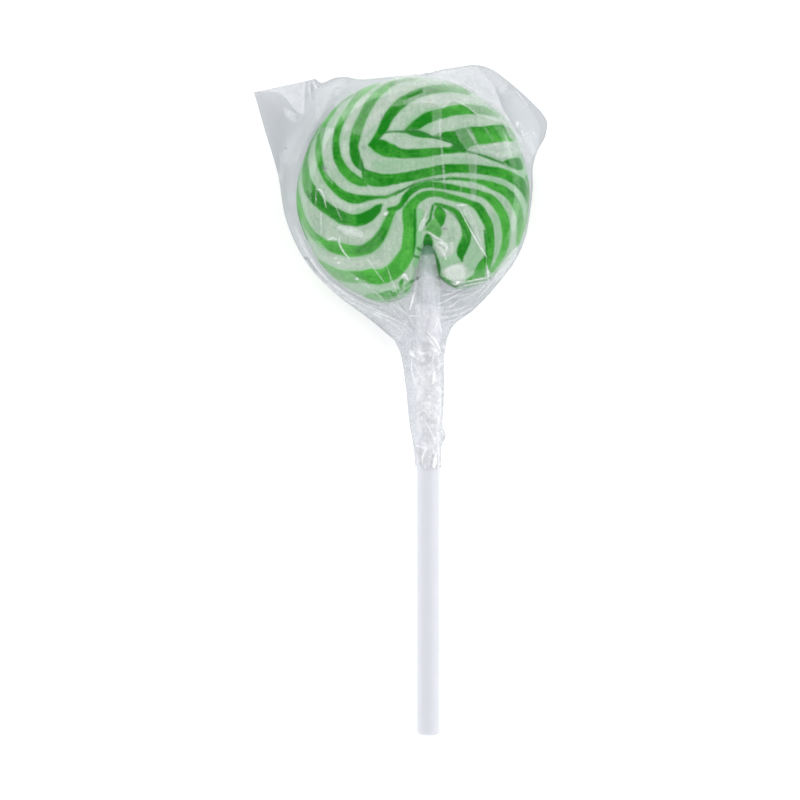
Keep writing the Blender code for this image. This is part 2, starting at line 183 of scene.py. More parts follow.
# Patches where both colours are paler, above 0, or greener, below 0: how much, how soft, and the outline. The paler
# patches that lie under the film's bright facets paint the film's reflection into the sugar.
PATCHES = [
    (0.38, 1.5, [(-18.8, 12.5), (-15.5, 10.8), (-13.0, 9.7), (-11.5, 9.4), (-9.1, 11.6), (-6.6, 14.3), (-4.4, 14.6),
                 (2.0, 14.4), (8.5, 14.9), (9.0, 16.5), (4.0, 19.5), (-4.0, 20.0), (-12.0, 18.2)]),
    (-0.40, 1.0, [(-4.8, 9.8), (-3.2, 12.6), (-0.4, 14.0), (0.6, 14.0), (0.8, 11.0), (-1.0, 9.0)]),
    (-0.45, 1.0, [(-10.2, 8.8), (-7.5, 8.6), (-6.4, 7.4), (-8.0, 5.6), (-10.4, 7.0)]),
    (-0.50, 1.0, [(-12.5, -3.6), (-9.0, -2.6), (-8.4, -3.4), (-10.0, -5.6), (-12.5, -6.2)]),
    (-0.32, 1.5, [(-13.5, -9.2), (-9.0, -7.5), (-7.6, -4.2), (-5.8, -3.4), (-6.2, -6.5), (-8.5, -10.6), (-12.5, -11.8)]),
    (-0.30, 1.0, [(-10.0, 5.0), (-4.0, 5.5), (4.0, 5.9), (12.0, 4.4), (4.0, 4.4), (-4.0, 3.4), (-9.0, 3.3)]),
    (-0.25, 1.0, [(9.0, 2.6), (14.0, 1.4), (16.6, -1.0), (15.5, -2.5), (13.5, 0.8), (9.0, 1.8)]),
    (0.12, 1.5, [(-22.9, 4.0), (-22.9, -4.0), (-20.0, -11.0), (-19.3, -9.0), (-21.3, -3.0), (-21.2, 4.0)]),
    (0.22, 2.0, [(-20.0, -8.5), (-16.0, -7.0), (-10.0, -7.0), (-9.0, -8.2), (-13.0, -9.4), (-17.0, -9.0)]),
    (0.42, 1.5, [(-19.0, -11.5), (-15.0, -11.4), (-9.0, -11.6), (-6.5, -12.5), (-8.5, -13.8), (-15.0, -13.9)]),
    (-0.35, 1.2, [(-19.5, -14.0), (-13.0, -16.3), (-7.0, -16.6), (-5.0, -18.0), (-10.0, -20.0), (-17.0, -17.0)]),
    (0.30, 1.5, [(9.0, 11.6), (14.0, 11.0), (16.0, 8.0), (12.0, 7.9), (9.0, 7.5), (8.0, 9.5)]),
    (-0.60, 1.2, [(15.6, 6.0), (17.0, 5.0), (17.8, 1.0), (17.6, -3.5), (16.2, -3.5), (16.4, 1.0)]),
    (-1.30, 0.8, [(-2.3, -3.4), (-1.0, -3.4), (-1.3, -6.0), (-1.3, -9.6), (-1.9, -13.0), (-2.7, -13.0), (-2.4, -8.0)]),
    (0.18, 0.8, [(1.0, -8.8), (2.5, -9.0), (4.4, -8.9), (4.5, -10.3), (3.9, -11.2), (2.4, -11.4), (1.3, -10.8)]),
    (-0.70, 0.9, [(2.2, -11.7), (3.6, -11.4), (4.9, -10.4), (5.6, -12.3), (4.4, -12.9), (2.6, -13.6)]),
    (0.95, 1.0, [(2.7, -13.9), (3.6, -13.2), (4.6, -12.9), (5.5, -12.8), (6.2, -13.3), (6.5, -14.2), (6.2, -15.5),
                 (5.2, -16.0), (4.2, -15.8), (3.2, -15.0)]),
    (-0.40, 1.0, [(6.3, -9.5), (7.6, -8.2), (9.2, -9.4), (9.3, -12.4), (7.4, -14.2), (6.4, -12.8)]),
    (-0.30, 1.0, [(11.3, -4.0), (12.4, -5.0), (12.6, -8.0), (11.7, -11.5), (11.3, -8.0)]),
    (0.25, 0.6, [(-0.9, -6.9), (0.2, -5.5), (1.0, -4.7), (2.2, -6.2), (2.5, -7.2), (1.9, -8.2), (0.8, -7.6)]),
]


def curve_through(points, step):
    """Points about step apart on a smooth open curve through the given ones."""
    p = np.array(points, float)
    span = np.linalg.norm(np.diff(p[:, :2], axis=0), axis=1)[:, None]
    slope = np.diff(p, axis=0) / span
    inner = (slope[:-1] * span[1:] + slope[1:] * span[:-1]) / (span[1:] + span[:-1])
    tangent = np.vstack([slope[:1], inner, slope[-1:]])
    made = []
    for i in range(len(p) - 1):
        steps = max(1, round(float(span[i, 0]) / step))
        t = (np.arange(steps) / steps)[:, None]
        made.append(
            (2 * t**3 - 3 * t**2 + 1) * p[i] + (t**3 - 2 * t**2 + t) * span[i] * tangent[i]
            + (3 * t**2 - 2 * t**3) * p[i + 1] + (t**3 - t**2) * span[i] * tangent[i + 1]
        )
    return np.vstack([*made, p[-1:]])


def distance_to(points, line):
    """(distance, place) from each point to an open line. The place runs from 0 to the line's last index."""
    nearest, place = np.full(len(points), np.inf), np.zeros(len(points))
    for i in range(len(line) - 1):
        run = line[i + 1] - line[i]
        rel = points - line[i]
        share = np.clip(rel @ run / (run @ run), 0, 1)
        gap = ((rel - share[:, None] * run) ** 2).sum(1)
        closer = gap < nearest
        nearest[closer] = gap[closer]
        place[closer] = i + share[closer]
    return np.sqrt(nearest), place


def depth_inside(points, loop):
    """Distance from each point to a closed loop: above 0 inside it, below 0 outside."""
    nearest, _ = distance_to(points, np.vstack([loop, loop[:1]]))
    inside = np.zeros(len(points), bool)
    x, y = points.T
    for (ax, ay), (bx, by) in zip(loop, np.roll(loop, -1, 0)):
        if ay != by:
            inside ^= ((ay > y) != (by > y)) & (x < ax + (y - ay) * (bx - ax) / (by - ay))
    return np.where(inside, nearest, -nearest)


def around(points, line, reach):
    """Which points lie in the box round a line, widened by reach."""
    return ((points > line.min(0) - reach) & (points < line.max(0) + reach)).all(1)


def stroke_of(points, stroke, reach=2.5):
    """(distance, width) of a line drawn with a changing width, (x, y, width) at each place, out to reach."""
    line = curve_through(stroke, 0.4)
    close = around(points, line[:, :2], reach)
    gap, width = np.full(len(points), 9.0), np.zeros(len(points))
    gap[close], place = distance_to(points[close], line[:, :2])
    width[close] = np.interp(place, np.arange(len(line)), line[:, 2])
    return gap, width


def stroke_depth(points, stroke):
    """How deep each point lies inside such a line."""
    gap, width = stroke_of(points, stroke)
    return 0.56 * width + SOAK - gap


def smooth(x, low, high):
    """Rises smoothly from 0 to 1 as x goes from low to high."""
    t = np.clip((x - low) / (high - low), 0, 1)
    return t * t * (3 - 2 * t)


def inset_ring(loop, depth):
    """Points on the curve that runs at this depth inside a closed anticlockwise loop."""
    along = np.roll(loop, -1, 0) - np.roll(loop, 1, 0)
    along /= np.linalg.norm(along, axis=1)[:, None]
    ring = loop + depth * np.stack([-along[:, 1], along[:, 0]], 1)
    return ring[depth_inside(ring, loop) > 0.97 * depth]


def head_half_height(depth, rounding=HEAD_ROUNDING, band=HEAD_RIM_BAND):
    """Half the head's thickness this deep inside its rim."""
    share = np.clip(depth / rounding, 0, 1)
    return np.maximum(head_half * np.sqrt(1 - (1 - share) ** 2), band / 2)


def mesh_piece(name, points, faces):
    """A smooth mesh piece, from points in millimetres."""
    mesh = bpy.data.meshes.new(name)
    mesh.from_pydata(points * MM, [], faces)
    mesh.shade_smooth()
    piece = bpy.data.objects.new(name, mesh)
    bpy.context.scene.collection.objects.link(piece)
    return piece


def store(piece, name, values):
    """Stores one number for each vertex, which the piece's material reads."""
    attribute = piece.data.attributes.new(name, "FLOAT", "POINT")
    attribute.data.foreach_set("value", np.asarray(values, np.float32))


head_low, head_high = (np.array(corner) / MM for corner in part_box("candy"))
head_mid, head_half = (head_low[2] + head_high[2]) / 2, (head_high[2] - head_low[2]) / 2

rim_line, slot_line = curve_through(HEAD_RIM, GRAIN), curve_through(HEAD_SLOT, GRAIN)
head_loop = np.vstack([rim_line[:-1], slot_line[:-1]])
low, high = head_loop.min(0), head_loop.max(0)
grid = np.stack(np.meshgrid(*(np.arange(low[k], high[k], GRAIN) for k in (0, 1))), 2)
grid[1::2, :, 0] += GRAIN / 2
grid = grid.reshape(-1, 2)
rings = [inset_ring(head_loop, depth) for depth in (0.04, 0.16, 0.34, 0.54)]
plan = np.vstack([head_loop, *rings, grid[depth_inside(grid, head_loop) > 0.7]])
count = len(head_loop)
found = delaunay_2d_cdt(
    [Vector(p) for p in plan.tolist()], [(i, (i + 1) % count) for i in range(count)], [], 1, 1e-5,
)
plan = np.array([tuple(p) for p in found[0]])
front_faces = [tuple(f) for f in found[2]]
rim_edges = [tuple(e) for e in found[1]]

# The rim without its slot.
lowest = [i for i in range(len(rim_line)) if rim_line[i, 1] < -14]
right_foot = min((i for i in lowest if rim_line[i, 0] > 0), key=lambda i: rim_line[i, 1])
left_foot = min((i for i in lowest if rim_line[i, 0] < 0), key=lambda i: rim_line[i, 1])
under_rim = rim_line[right_foot:left_foot + 1][::3]
from_rim = depth_inside(plan, under_rim)
from_slot, _ = distance_to(plan, slot_line)
dome = np.minimum(head_half_height(from_rim), head_half_height(from_slot, SLOT_ROUNDING, SLOT_BAND))


def seen_at(points, height):
    """Where points this high over the middle plane are seen against that plane."""
    return points + (points - LOOK_FROM) * (height / (LOOK_HEIGHT - height))[:, None]


seen = seen_at(plan, dome)
relief = np.zeros(len(plan))
for crease in CREASES:
    line = curve_through(crease, 0.4)
    gap, _ = distance_to(seen, line)
    from_end = np.linalg.norm(seen[:, None] - line[[0, -1]], axis=2).min(1) / CREASE_FADE
    groove = np.exp(-((gap / (CREASE_HALF_WIDTH / 2)) ** 1.4))
    relief = np.maximum(relief, groove * np.clip(from_end, 0, 1))

green = np.full(len(plan), -3.0)
deepness = np.full(len(plan), 0.5)
for deep, depth in [(deep, stroke_depth(seen, streak)) for deep, streak in STREAKS] + [
    (deep, np.minimum(depth_inside(seen, curve_through(field + field[:1], 0.4)[:-1]), most))
    for deep, most, field in FIELDS
]:
    deepness = np.where(depth > green, deep, deepness)
    green = np.maximum(green, depth)

# Paleness, which under the film's bright facets is a painted reflection.
pale = np.zeros(len(plan))
for strength, soft, outline in PATCHES:
    cover = smooth(depth_inside(seen, np.array(outline)), -soft / 2, soft / 2)
    pale = pale * (1 - cover) + strength * cover

swell = sum(np.sin(plan @ way + start) for way, start in SWELLS) / len(SWELLS)
half_height = dome - CREASE_DEPTH * relief
half_height -= STREAK_SINK * np.clip(0.5 + green / 0.6, 0, 1) + SWELL_DEPTH * (1 + swell)
n = len(plan)
edge_use = {}
for face in front_faces:
    for a, b in zip(face, face[1:] + face[:1]):
        edge_use[(a, b)] = edge_use.get((a, b), 0) + 1
rim_edges = [(a, b) for a, b in edge_use if (b, a) not in edge_use]
walls = [(b, a, n + a, n + b) for a, b in rim_edges]
back_faces = [tuple(n + i for i in reversed(face)) for face in front_faces]
head = mesh_piece(
    "swirl_head",
    np.vstack([
        np.column_stack([plan, head_mid + half_height]), np.column_stack([plan, head_mid - half_height]),
    ]),
    front_faces + back_faces + walls,
)
store(head, "green", np.tile(green, 2))
store(head, "deepness", np.tile(deepness, 2))
store(head, "crease", np.tile(relief, 2))
store(head, "pale", np.tile(pale, 2))
store(head, "from_rim", np.tile(from_rim, 2))


class Wire:
    """One output socket of a material's node. Its operators add Math nodes."""

    def __init__(self, tree, socket=None):
        self.tree, self.socket = tree, socket

    def node(self, kind, settings=None, sockets=None, out=0):
        """Adds a node: first its settings, then its sockets' values or links. Gives one of its outputs."""
        made = self.tree.nodes.new("ShaderNode" + kind)
        for name, value in (settings or {}).items():
            setattr(made, name, value)
        for name, value in (sockets or {}).items():
            if isinstance(value, Wire):
                self.tree.links.new(value.socket, made.inputs[name])
            else:
                made.inputs[name].default_value = value
        return Wire(self.tree, made.outputs[out] if made.outputs else None)

    def maths(self, operation, a, b=0.0, clamp=False):
        return self.node("Math", {"operation": operation, "use_clamp": clamp}, {0: a, 1: b})

    def __add__(self, other):
        return self.maths("ADD", self, other)

    def __sub__(self, other):
        return self.maths("SUBTRACT", self, other)

    def __rsub__(self, other):
        return self.maths("SUBTRACT", other, self)

    def __mul__(self, other):
        return self.maths("MULTIPLY", self, other)

    def __truediv__(self, other):
        return self.maths("DIVIDE", self, other)

    __radd__, __rmul__ = __add__, __mul__

    def clamped(self):
        return self.maths("ADD", self, 0.0, clamp=True)

    def ramp(self, low, high):
        """Rises smoothly from 0 to 1 as this goes from low to high."""
        return self.node(
            "MapRange", {"interpolation_type": "SMOOTHSTEP"}, {"Value": self, "From Min": low, "From Max": high},
        )

    def mixed(self, a, b):
        """The colour a where this is 0, and b where it is 1."""
        colours = {
            slot: value if isinstance(value, Wire) else (*value, 1) for slot, value in ((6, a), (7, b))
        }
        return self.node("Mix", {"data_type": "RGBA"}, {0: self, **colours}, out=2)

    def stored(self, name):
        return self.node("Attribute", {"attribute_name": name}, out="Fac")

    def noise(self, scale, detail=2.0, roughness=0.5, at=None):
        """Smooth noise, scale per metre of the piece."""
        place = at or self.node("TexCoord", out="Object")
        return self.node(
            "TexNoise", {}, {"Vector": place, "Scale": scale, "Detail": detail, "Roughness": roughness},
        )


def new_look(name, piece):
    """A wire into the empty material that the piece now has."""
    material = bpy.data.materials.new(name)
    material.use_nodes = True
    material.node_tree.nodes.clear()
    piece.data.materials.clear()
    piece.data.materials.append(material)
    return Wire(material.node_tree)


WHITE_SUGAR = (0.765, 0.86, 0.735)
SHADED_SUGAR = (0.415, 0.605, 0.42)
TINTED_SUGAR = (0.36, 0.72, 0.36)  # white that has drawn in green from the streak beside it
RIM_SUGAR_AND_SHADE = (0.30, 0.54, 0.32)  # thinner sugar at the rim, with painted shade where the rim rounds away
DEEP_GREEN = (0.003, 0.27, 0.003)
LIGHT_GREEN = (0.13, 0.62, 0.085)
# painted shade in the deepest part of the creases
CREASE_SHADE_GREEN = (0.05, 0.24, 0.07)

wire = new_look("pulled_sugar", head)
depth = wire.stored("green")
place = wire.node("TexCoord", out="Object")
wobble = wire.noise(700.0, 4.0, 0.6, place) - 0.5
inside = (depth + 0.40 * wobble).ramp(-0.22, 0.22)
# Paleness: partly a painted reflection of the film's bright facets, partly greener sugar where it is below 0.
pale = wire.stored("pale")
cloud = wire.noise(200.0, 4.0, 0.55, place)
patch = wire.noise(110.0, 2.0, 0.5, place)
strands = wire.noise(1.0, 3.0, 0.6, wire.node("CombineXYZ", {}, {"X": depth * 4.0, "Y": cloud * 9.0, "Z": patch * 9.0}))
speck = wire.noise(1900.0, 2.0, 0.6, place)
hairs = wire.noise(2200.0, 2.0, 0.5, wire.node("Mapping", {}, {"Vector": place, "Scale": (1.0, 0.10, 1.0)}))
tone = 0.42 + 0.9 * pale + 1.0 * (strands - 0.5) + 1.2 * (cloud - 0.5) + 1.0 * (speck - 0.5)
tone = (tone + 0.7 * (hairs - 0.5)).clamped()
white = tone.mixed(SHADED_SUGAR, WHITE_SUGAR)
white = (depth.ramp(-0.7, 0.1) * (0.15 + 0.5 * patch)).clamped().mixed(white, TINTED_SUGAR)
white = (pale * -0.9).clamped().mixed(white, TINTED_SUGAR)
# Darker and greener near the rim: partly the thinner sugar, partly painted shade where the rim rounds away.
rim = 1 - wire.stored("from_rim").ramp(0.3, 3.6)
white = (rim * 0.5).mixed(white, RIM_SUGAR_AND_SHADE)
deep_here = wire.stored("deepness") - 0.9 * pale + 0.02
deep_here = (deep_here + 1.7 * (cloud - 0.5) + 1.1 * (strands - 0.5) + 0.7 * (speck - 0.5)).clamped()
green_sugar = deep_here.mixed(LIGHT_GREEN, DEEP_GREEN)
sugar = inside.mixed(white, green_sugar)
sugar = wire.node("VectorMath", {"operation": "SCALE"}, {0: sugar, "Scale": 1 - 0.14 * rim})
# Painted shade: dark green down the middle of the creases, broken up by noise.
sugar = (wire.stored("crease").ramp(0.75, 1.0) * (1.4 * patch - 0.2).clamped()).mixed(sugar, CREASE_SHADE_GREEN)
grain = wire.noise(1400.0, 4.0, 0.6, place)
bump = wire.node("Bump", {}, {"Strength": 0.35, "Distance": 0.0001, "Height": grain + 0.6 * strands})
surface = wire.node("BsdfPrincipled", {}, {
    "Base Color": sugar, "Roughness": 0.30 + 0.12 * grain, "IOR": 1.45, "Subsurface Weight": 0.25,
    "Subsurface Radius": (0.4, 1.0, 0.4), "Subsurface Scale": 0.0004, "Normal": bump,
})
wire.node("OutputMaterial", {}, {"Surface": surface})

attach(head, "root")
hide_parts("candy")


# ---- Stick ---------------------------------------------------------------------------------------
# White paper rolled tight into a solid rod, glued, waxed to a satin finish and pressed round at its
# ends. The head was pressed over one end while it was hot.

STICK_SIDES = 72
STICK_END_RADIUS = 0.9

stick_low, stick_high = (np.array(corner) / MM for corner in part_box("stick"))
stick_radius = (stick_high[0] - stick_low[0]) / 2
stick_x, stick_z = (stick_low[[0, 2]] + stick_high[[0, 2]]) / 2

# Half of the rod's outline, from the middle of the foot to the middle of the top: (radius, y).
bend = np.radians(np.linspace(0, 90, 9))
foot = [(0.0, 0.10), (0.18, 0.10), (0.24, 0.03)]
layers = stick_radius - STICK_END_RADIUS
for turn in range(6):
    r = 0.3 + turn * (layers - 0.3) / 6
    foot += [(r, 0.0), (r + 0.10, 0.0), (r + 0.14, 0.035)]
foot = [(r, y) for r, y in foot if r < layers]
corner = np.column_stack([layers + STICK_END_RADIUS * np.sin(bend), STICK_END_RADIUS * (1 - np.cos(bend))])
end = np.vstack([foot, corner])
length = stick_high[1] - stick_low[1]
middle = np.column_stack([np.full(48, stick_radius), np.linspace(STICK_END_RADIUS, length - STICK_END_RADIUS, 50)[1:-1]])
top_end = np.column_stack([end[::-1, 0], length - end[::-1, 1]])
profile = np.vstack([end, middle, top_end])
angle = np.linspace(0, 2 * math.pi, STICK_SIDES, endpoint=False)
rounds = profile[1:-1]
points = np.stack([
    stick_x + np.outer(rounds[:, 0], np.cos(angle)), np.repeat(stick_low[1] + rounds[:, 1:], STICK_SIDES, 1),
    stick_z + np.outer(rounds[:, 0], np.sin(angle)),
], 2).reshape(-1, 3)
points = np.vstack([points, [(stick_x, stick_low[1] + y, stick_z) for y in profile[[0, -1], 1]]])
faces = []
for ring in range(len(rounds) - 1):
    for k in range(STICK_SIDES):
        a, b = ring * STICK_SIDES + k, ring * STICK_SIDES + (k + 1) % STICK_SIDES
        faces.append((b, a, a + STICK_SIDES, b + STICK_SIDES))
last = (len(rounds) - 1) * STICK_SIDES
for k in range(STICK_SIDES):
    faces.append((k, (k + 1) % STICK_SIDES, len(points) - 2))
    faces.append((last + (k + 1) % STICK_SIDES, last + k, len(points) - 1))
stick = mesh_piece("paper_stick", points, faces)

PAPER_WHITE = (0.745, 0.755, 0.815)
PAPER_GREY = (0.67, 0.68, 0.74)
SLOT_SHADE_GREEN = (0.30, 0.56, 0.41)  # painted shade where the paper sits in the slot, greened by light through the sugar
wire = new_look("rolled_paper", stick)
place = wire.node("TexCoord", out="Object")
long_grain = wire.node("Mapping", {}, {"Vector": place, "Scale": (1.0, 0.08, 1.0)})
fibre = wire.noise(2600.0, 3.0, 0.55, long_grain)
mottle = wire.noise(240.0, 3.0, 0.5, place)
paper = (0.5 * fibre + 0.5 * mottle).clamped().mixed(PAPER_GREY, PAPER_WHITE)
height = wire.node("SeparateXYZ", {}, {"Vector": place}, out="Y")
# Darker and greener towards the head: painted shade of the slot, with green light from the sugar.
paper = (height.ramp(-0.0160, -0.0092) * (0.85 + 0.3 * mottle)).clamped().mixed(paper, SLOT_SHADE_GREEN)
bump = wire.node("Bump", {}, {"Strength": 0.2, "Distance": 0.00004, "Height": fibre})
surface = wire.node("BsdfPrincipled", {}, {
    "Base Color": paper, "Roughness": 0.42 + 0.1 * fibre, "IOR": 1.45, "Normal": bump,
})
wire.node("OutputMaterial", {}, {"Surface": surface})

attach(stick, "root")
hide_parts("stick")


# ---- Film bag ------------------------------------------------------------------------------------
# A flat bag of thin clear film, pulled tight over the head and gathered round the stick, where heat
# crumples it. It is drawn flat beyond the head, with a folded corner and creases that run to the neck.

BAG_LEFT = [(-30.1, 16.9), (-28.2, 10.3), (-26.1, 3.3), (-24.4, -5.6), (-21.1, -12.4), (-16.1, -17.8),
            (-10.5, -22.0), (-5.8, -25.9)]
TAIL_LEFT = [(-5.8, -25.9), (-4.9, -28.0), (-4.0, -33.0), (-3.3, -40.0), (-2.5, -45.0), (-2.3, -47.6)]
BAG_RIGHT = [(7.5, 21.6), (9.0, 21.5), (11.0, 20.8), (14.0, 18.6), (18.0, 15.0), (19.6, 13.3), (20.4, 12.0),
             (20.3, 9.8), (18.9, 6.9), (18.2, 5.0), (18.0, 0.0), (17.6, -3.5), (16.6, -8.6), (15.0, -12.1),
             (12.5, -15.5), (10.3, -18.1), (7.7, -20.7), (4.1, -23.6), (3.2, -25.6)]
TAIL_RIGHT = [(3.2, -25.6), (2.8, -28.0), (2.7, -33.0), (2.6, -38.0), (2.5, -40.8), (3.0, -42.4), (2.4, -43.8),
              (2.3, -47.8)]
BAG_TOP = [(-30.1, 16.9), (-24.0, 18.2), (-20.0, 19.1), (-19.6, 19.2), (-18.8, 18.6), (-16.0, 19.4),
           (-14.0, 19.5), (-12.5, 19.2), (-8.0, 19.4), (-5.0, 19.7), (-2.0, 20.0), (3.0, 20.9), (7.5, 21.6)]
TAIL_END = [(-2.3, -47.6), (-1.4, -47.9), (-0.4, -48.3), (0.6, -48.0), (1.4, -48.2), (2.3, -47.8)]
NECK = 0.72  # share of the sheet's length that lies above the neck
COLUMNS, ROWS = 240, 380
FILM_GAP = 0.12
DRAPE_STEP = 0.3
DRAPE_ROUNDS = 1500
FLATTENED = 0.0022  # how strongly the film is pressed flat beyond the head

bag_low, bag_high = (np.array(corner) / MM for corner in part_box("wrapper"))


def stations(line, shares):
    """Points at these shares of a smooth line's length."""
    fine = curve_through(line, 0.1)
    far = np.concatenate([[0], np.cumsum(np.linalg.norm(np.diff(fine, axis=0), axis=1))])
    return np.column_stack([np.interp(shares * far[-1], far, fine[:, k]) for k in (0, 1)])


down = np.linspace(0, 1, ROWS + 1)
above = down <= NECK
left = np.vstack([stations(BAG_LEFT, down[above] / NECK), stations(TAIL_LEFT, (down[~above] - NECK) / (1 - NECK))])
right = np.vstack([stations(BAG_RIGHT, down[above] / NECK), stations(TAIL_RIGHT, (down[~above] - NECK) / (1 - NECK))])
over = np.linspace(0, 1, COLUMNS + 1)
top, bottom = stations(BAG_TOP, over), stations(TAIL_END, over)
u, v = over[None, :, None], down[:, None, None]
sheet = (
    (1 - u) * left[:, None] + u * right[:, None] + (1 - v) * top[None] + v * bottom[None]
    - (1 - u) * (1 - v) * top[0] - u * (1 - v) * top[-1] - (1 - u) * v * bottom[0] - u * v * bottom[-1]
)
flat = sheet.reshape(-1, 2)

# The tight film, found by letting it settle over the head and the stick on a square grid.
bag_loop = np.vstack([left[:-1], bottom[:-1], right[:0:-1], top[:0:-1]])[::3]
xs = np.arange(bag_loop[:, 0].min() - 1, bag_loop[:, 0].max() + 1, DRAPE_STEP)
ys = np.arange(bag_loop[:, 1].min() - 1, bag_loop[:, 1].max() + 1, DRAPE_STEP)
cells = np.stack(np.meshgrid(xs, ys), 2)
shape = cells.shape[:2]
cells = cells.reshape(-1, 2)
free = (depth_inside(cells, bag_loop) > 0).reshape(shape)
over_head = depth_inside(cells, under_rim)
held = np.where(over_head > 0, head_half_height(over_head) + FILM_GAP, 0.0)
round_stick = np.sqrt(np.maximum((stick_radius + FILM_GAP) ** 2 - (cells[:, 0] - stick_x) ** 2, 0))
held = np.maximum(held, round_stick).reshape(shape)
held = np.where(free, held, 0.0)
lift = held.copy()
for _ in range(DRAPE_ROUNDS):
    spread = (
        np.roll(lift, 1, 0) + np.roll(lift, -1, 0) + np.roll(lift, 1, 1) + np.roll(lift, -1, 1)
    ) / 4
    lift = np.where(free, np.maximum(spread * (1 - FLATTENED), held), 0.0)


def sampled(field, at):
    """The square grid's values at these points."""
    i = np.clip((at[:, 0] - xs[0]) / DRAPE_STEP, 0, len(xs) - 1.001)
    j = np.clip((at[:, 1] - ys[0]) / DRAPE_STEP, 0, len(ys) - 1.001)
    i0, j0 = i.astype(int), j.astype(int)
    fi, fj = i - i0, j - j0
    return (
        field[j0, i0] * (1 - fi) * (1 - fj) + field[j0, i0 + 1] * fi * (1 - fj)
        + field[j0 + 1, i0] * (1 - fi) * fj + field[j0 + 1, i0 + 1] * fi * fj
    )


def zigzag(phase):
    """A fold line at every whole number: 1 on it, falling straight to 0 half way to the next."""
    return np.abs(2 * (phase - np.floor(phase)) - 1)


def crumple(at, draw, waves, size):
    """Flat facets between straight folds, this size in millimetres, about 0 and 1 high."""
    made = np.zeros(len(at))
    for _ in range(waves):
        turn, shift, stretch = draw.uniform(0, 2 * math.pi), draw.uniform(), draw.uniform(0.7, 1.6)
        across = at @ np.array([math.cos(turn), math.sin(turn)]) / (size * stretch)
        bow = np.sin(at @ np.array([-math.sin(turn), math.cos(turn)]) / (size * 2.3) + 6 * shift)
        made += zigzag(across + shift + 0.12 * bow)
    return made / waves
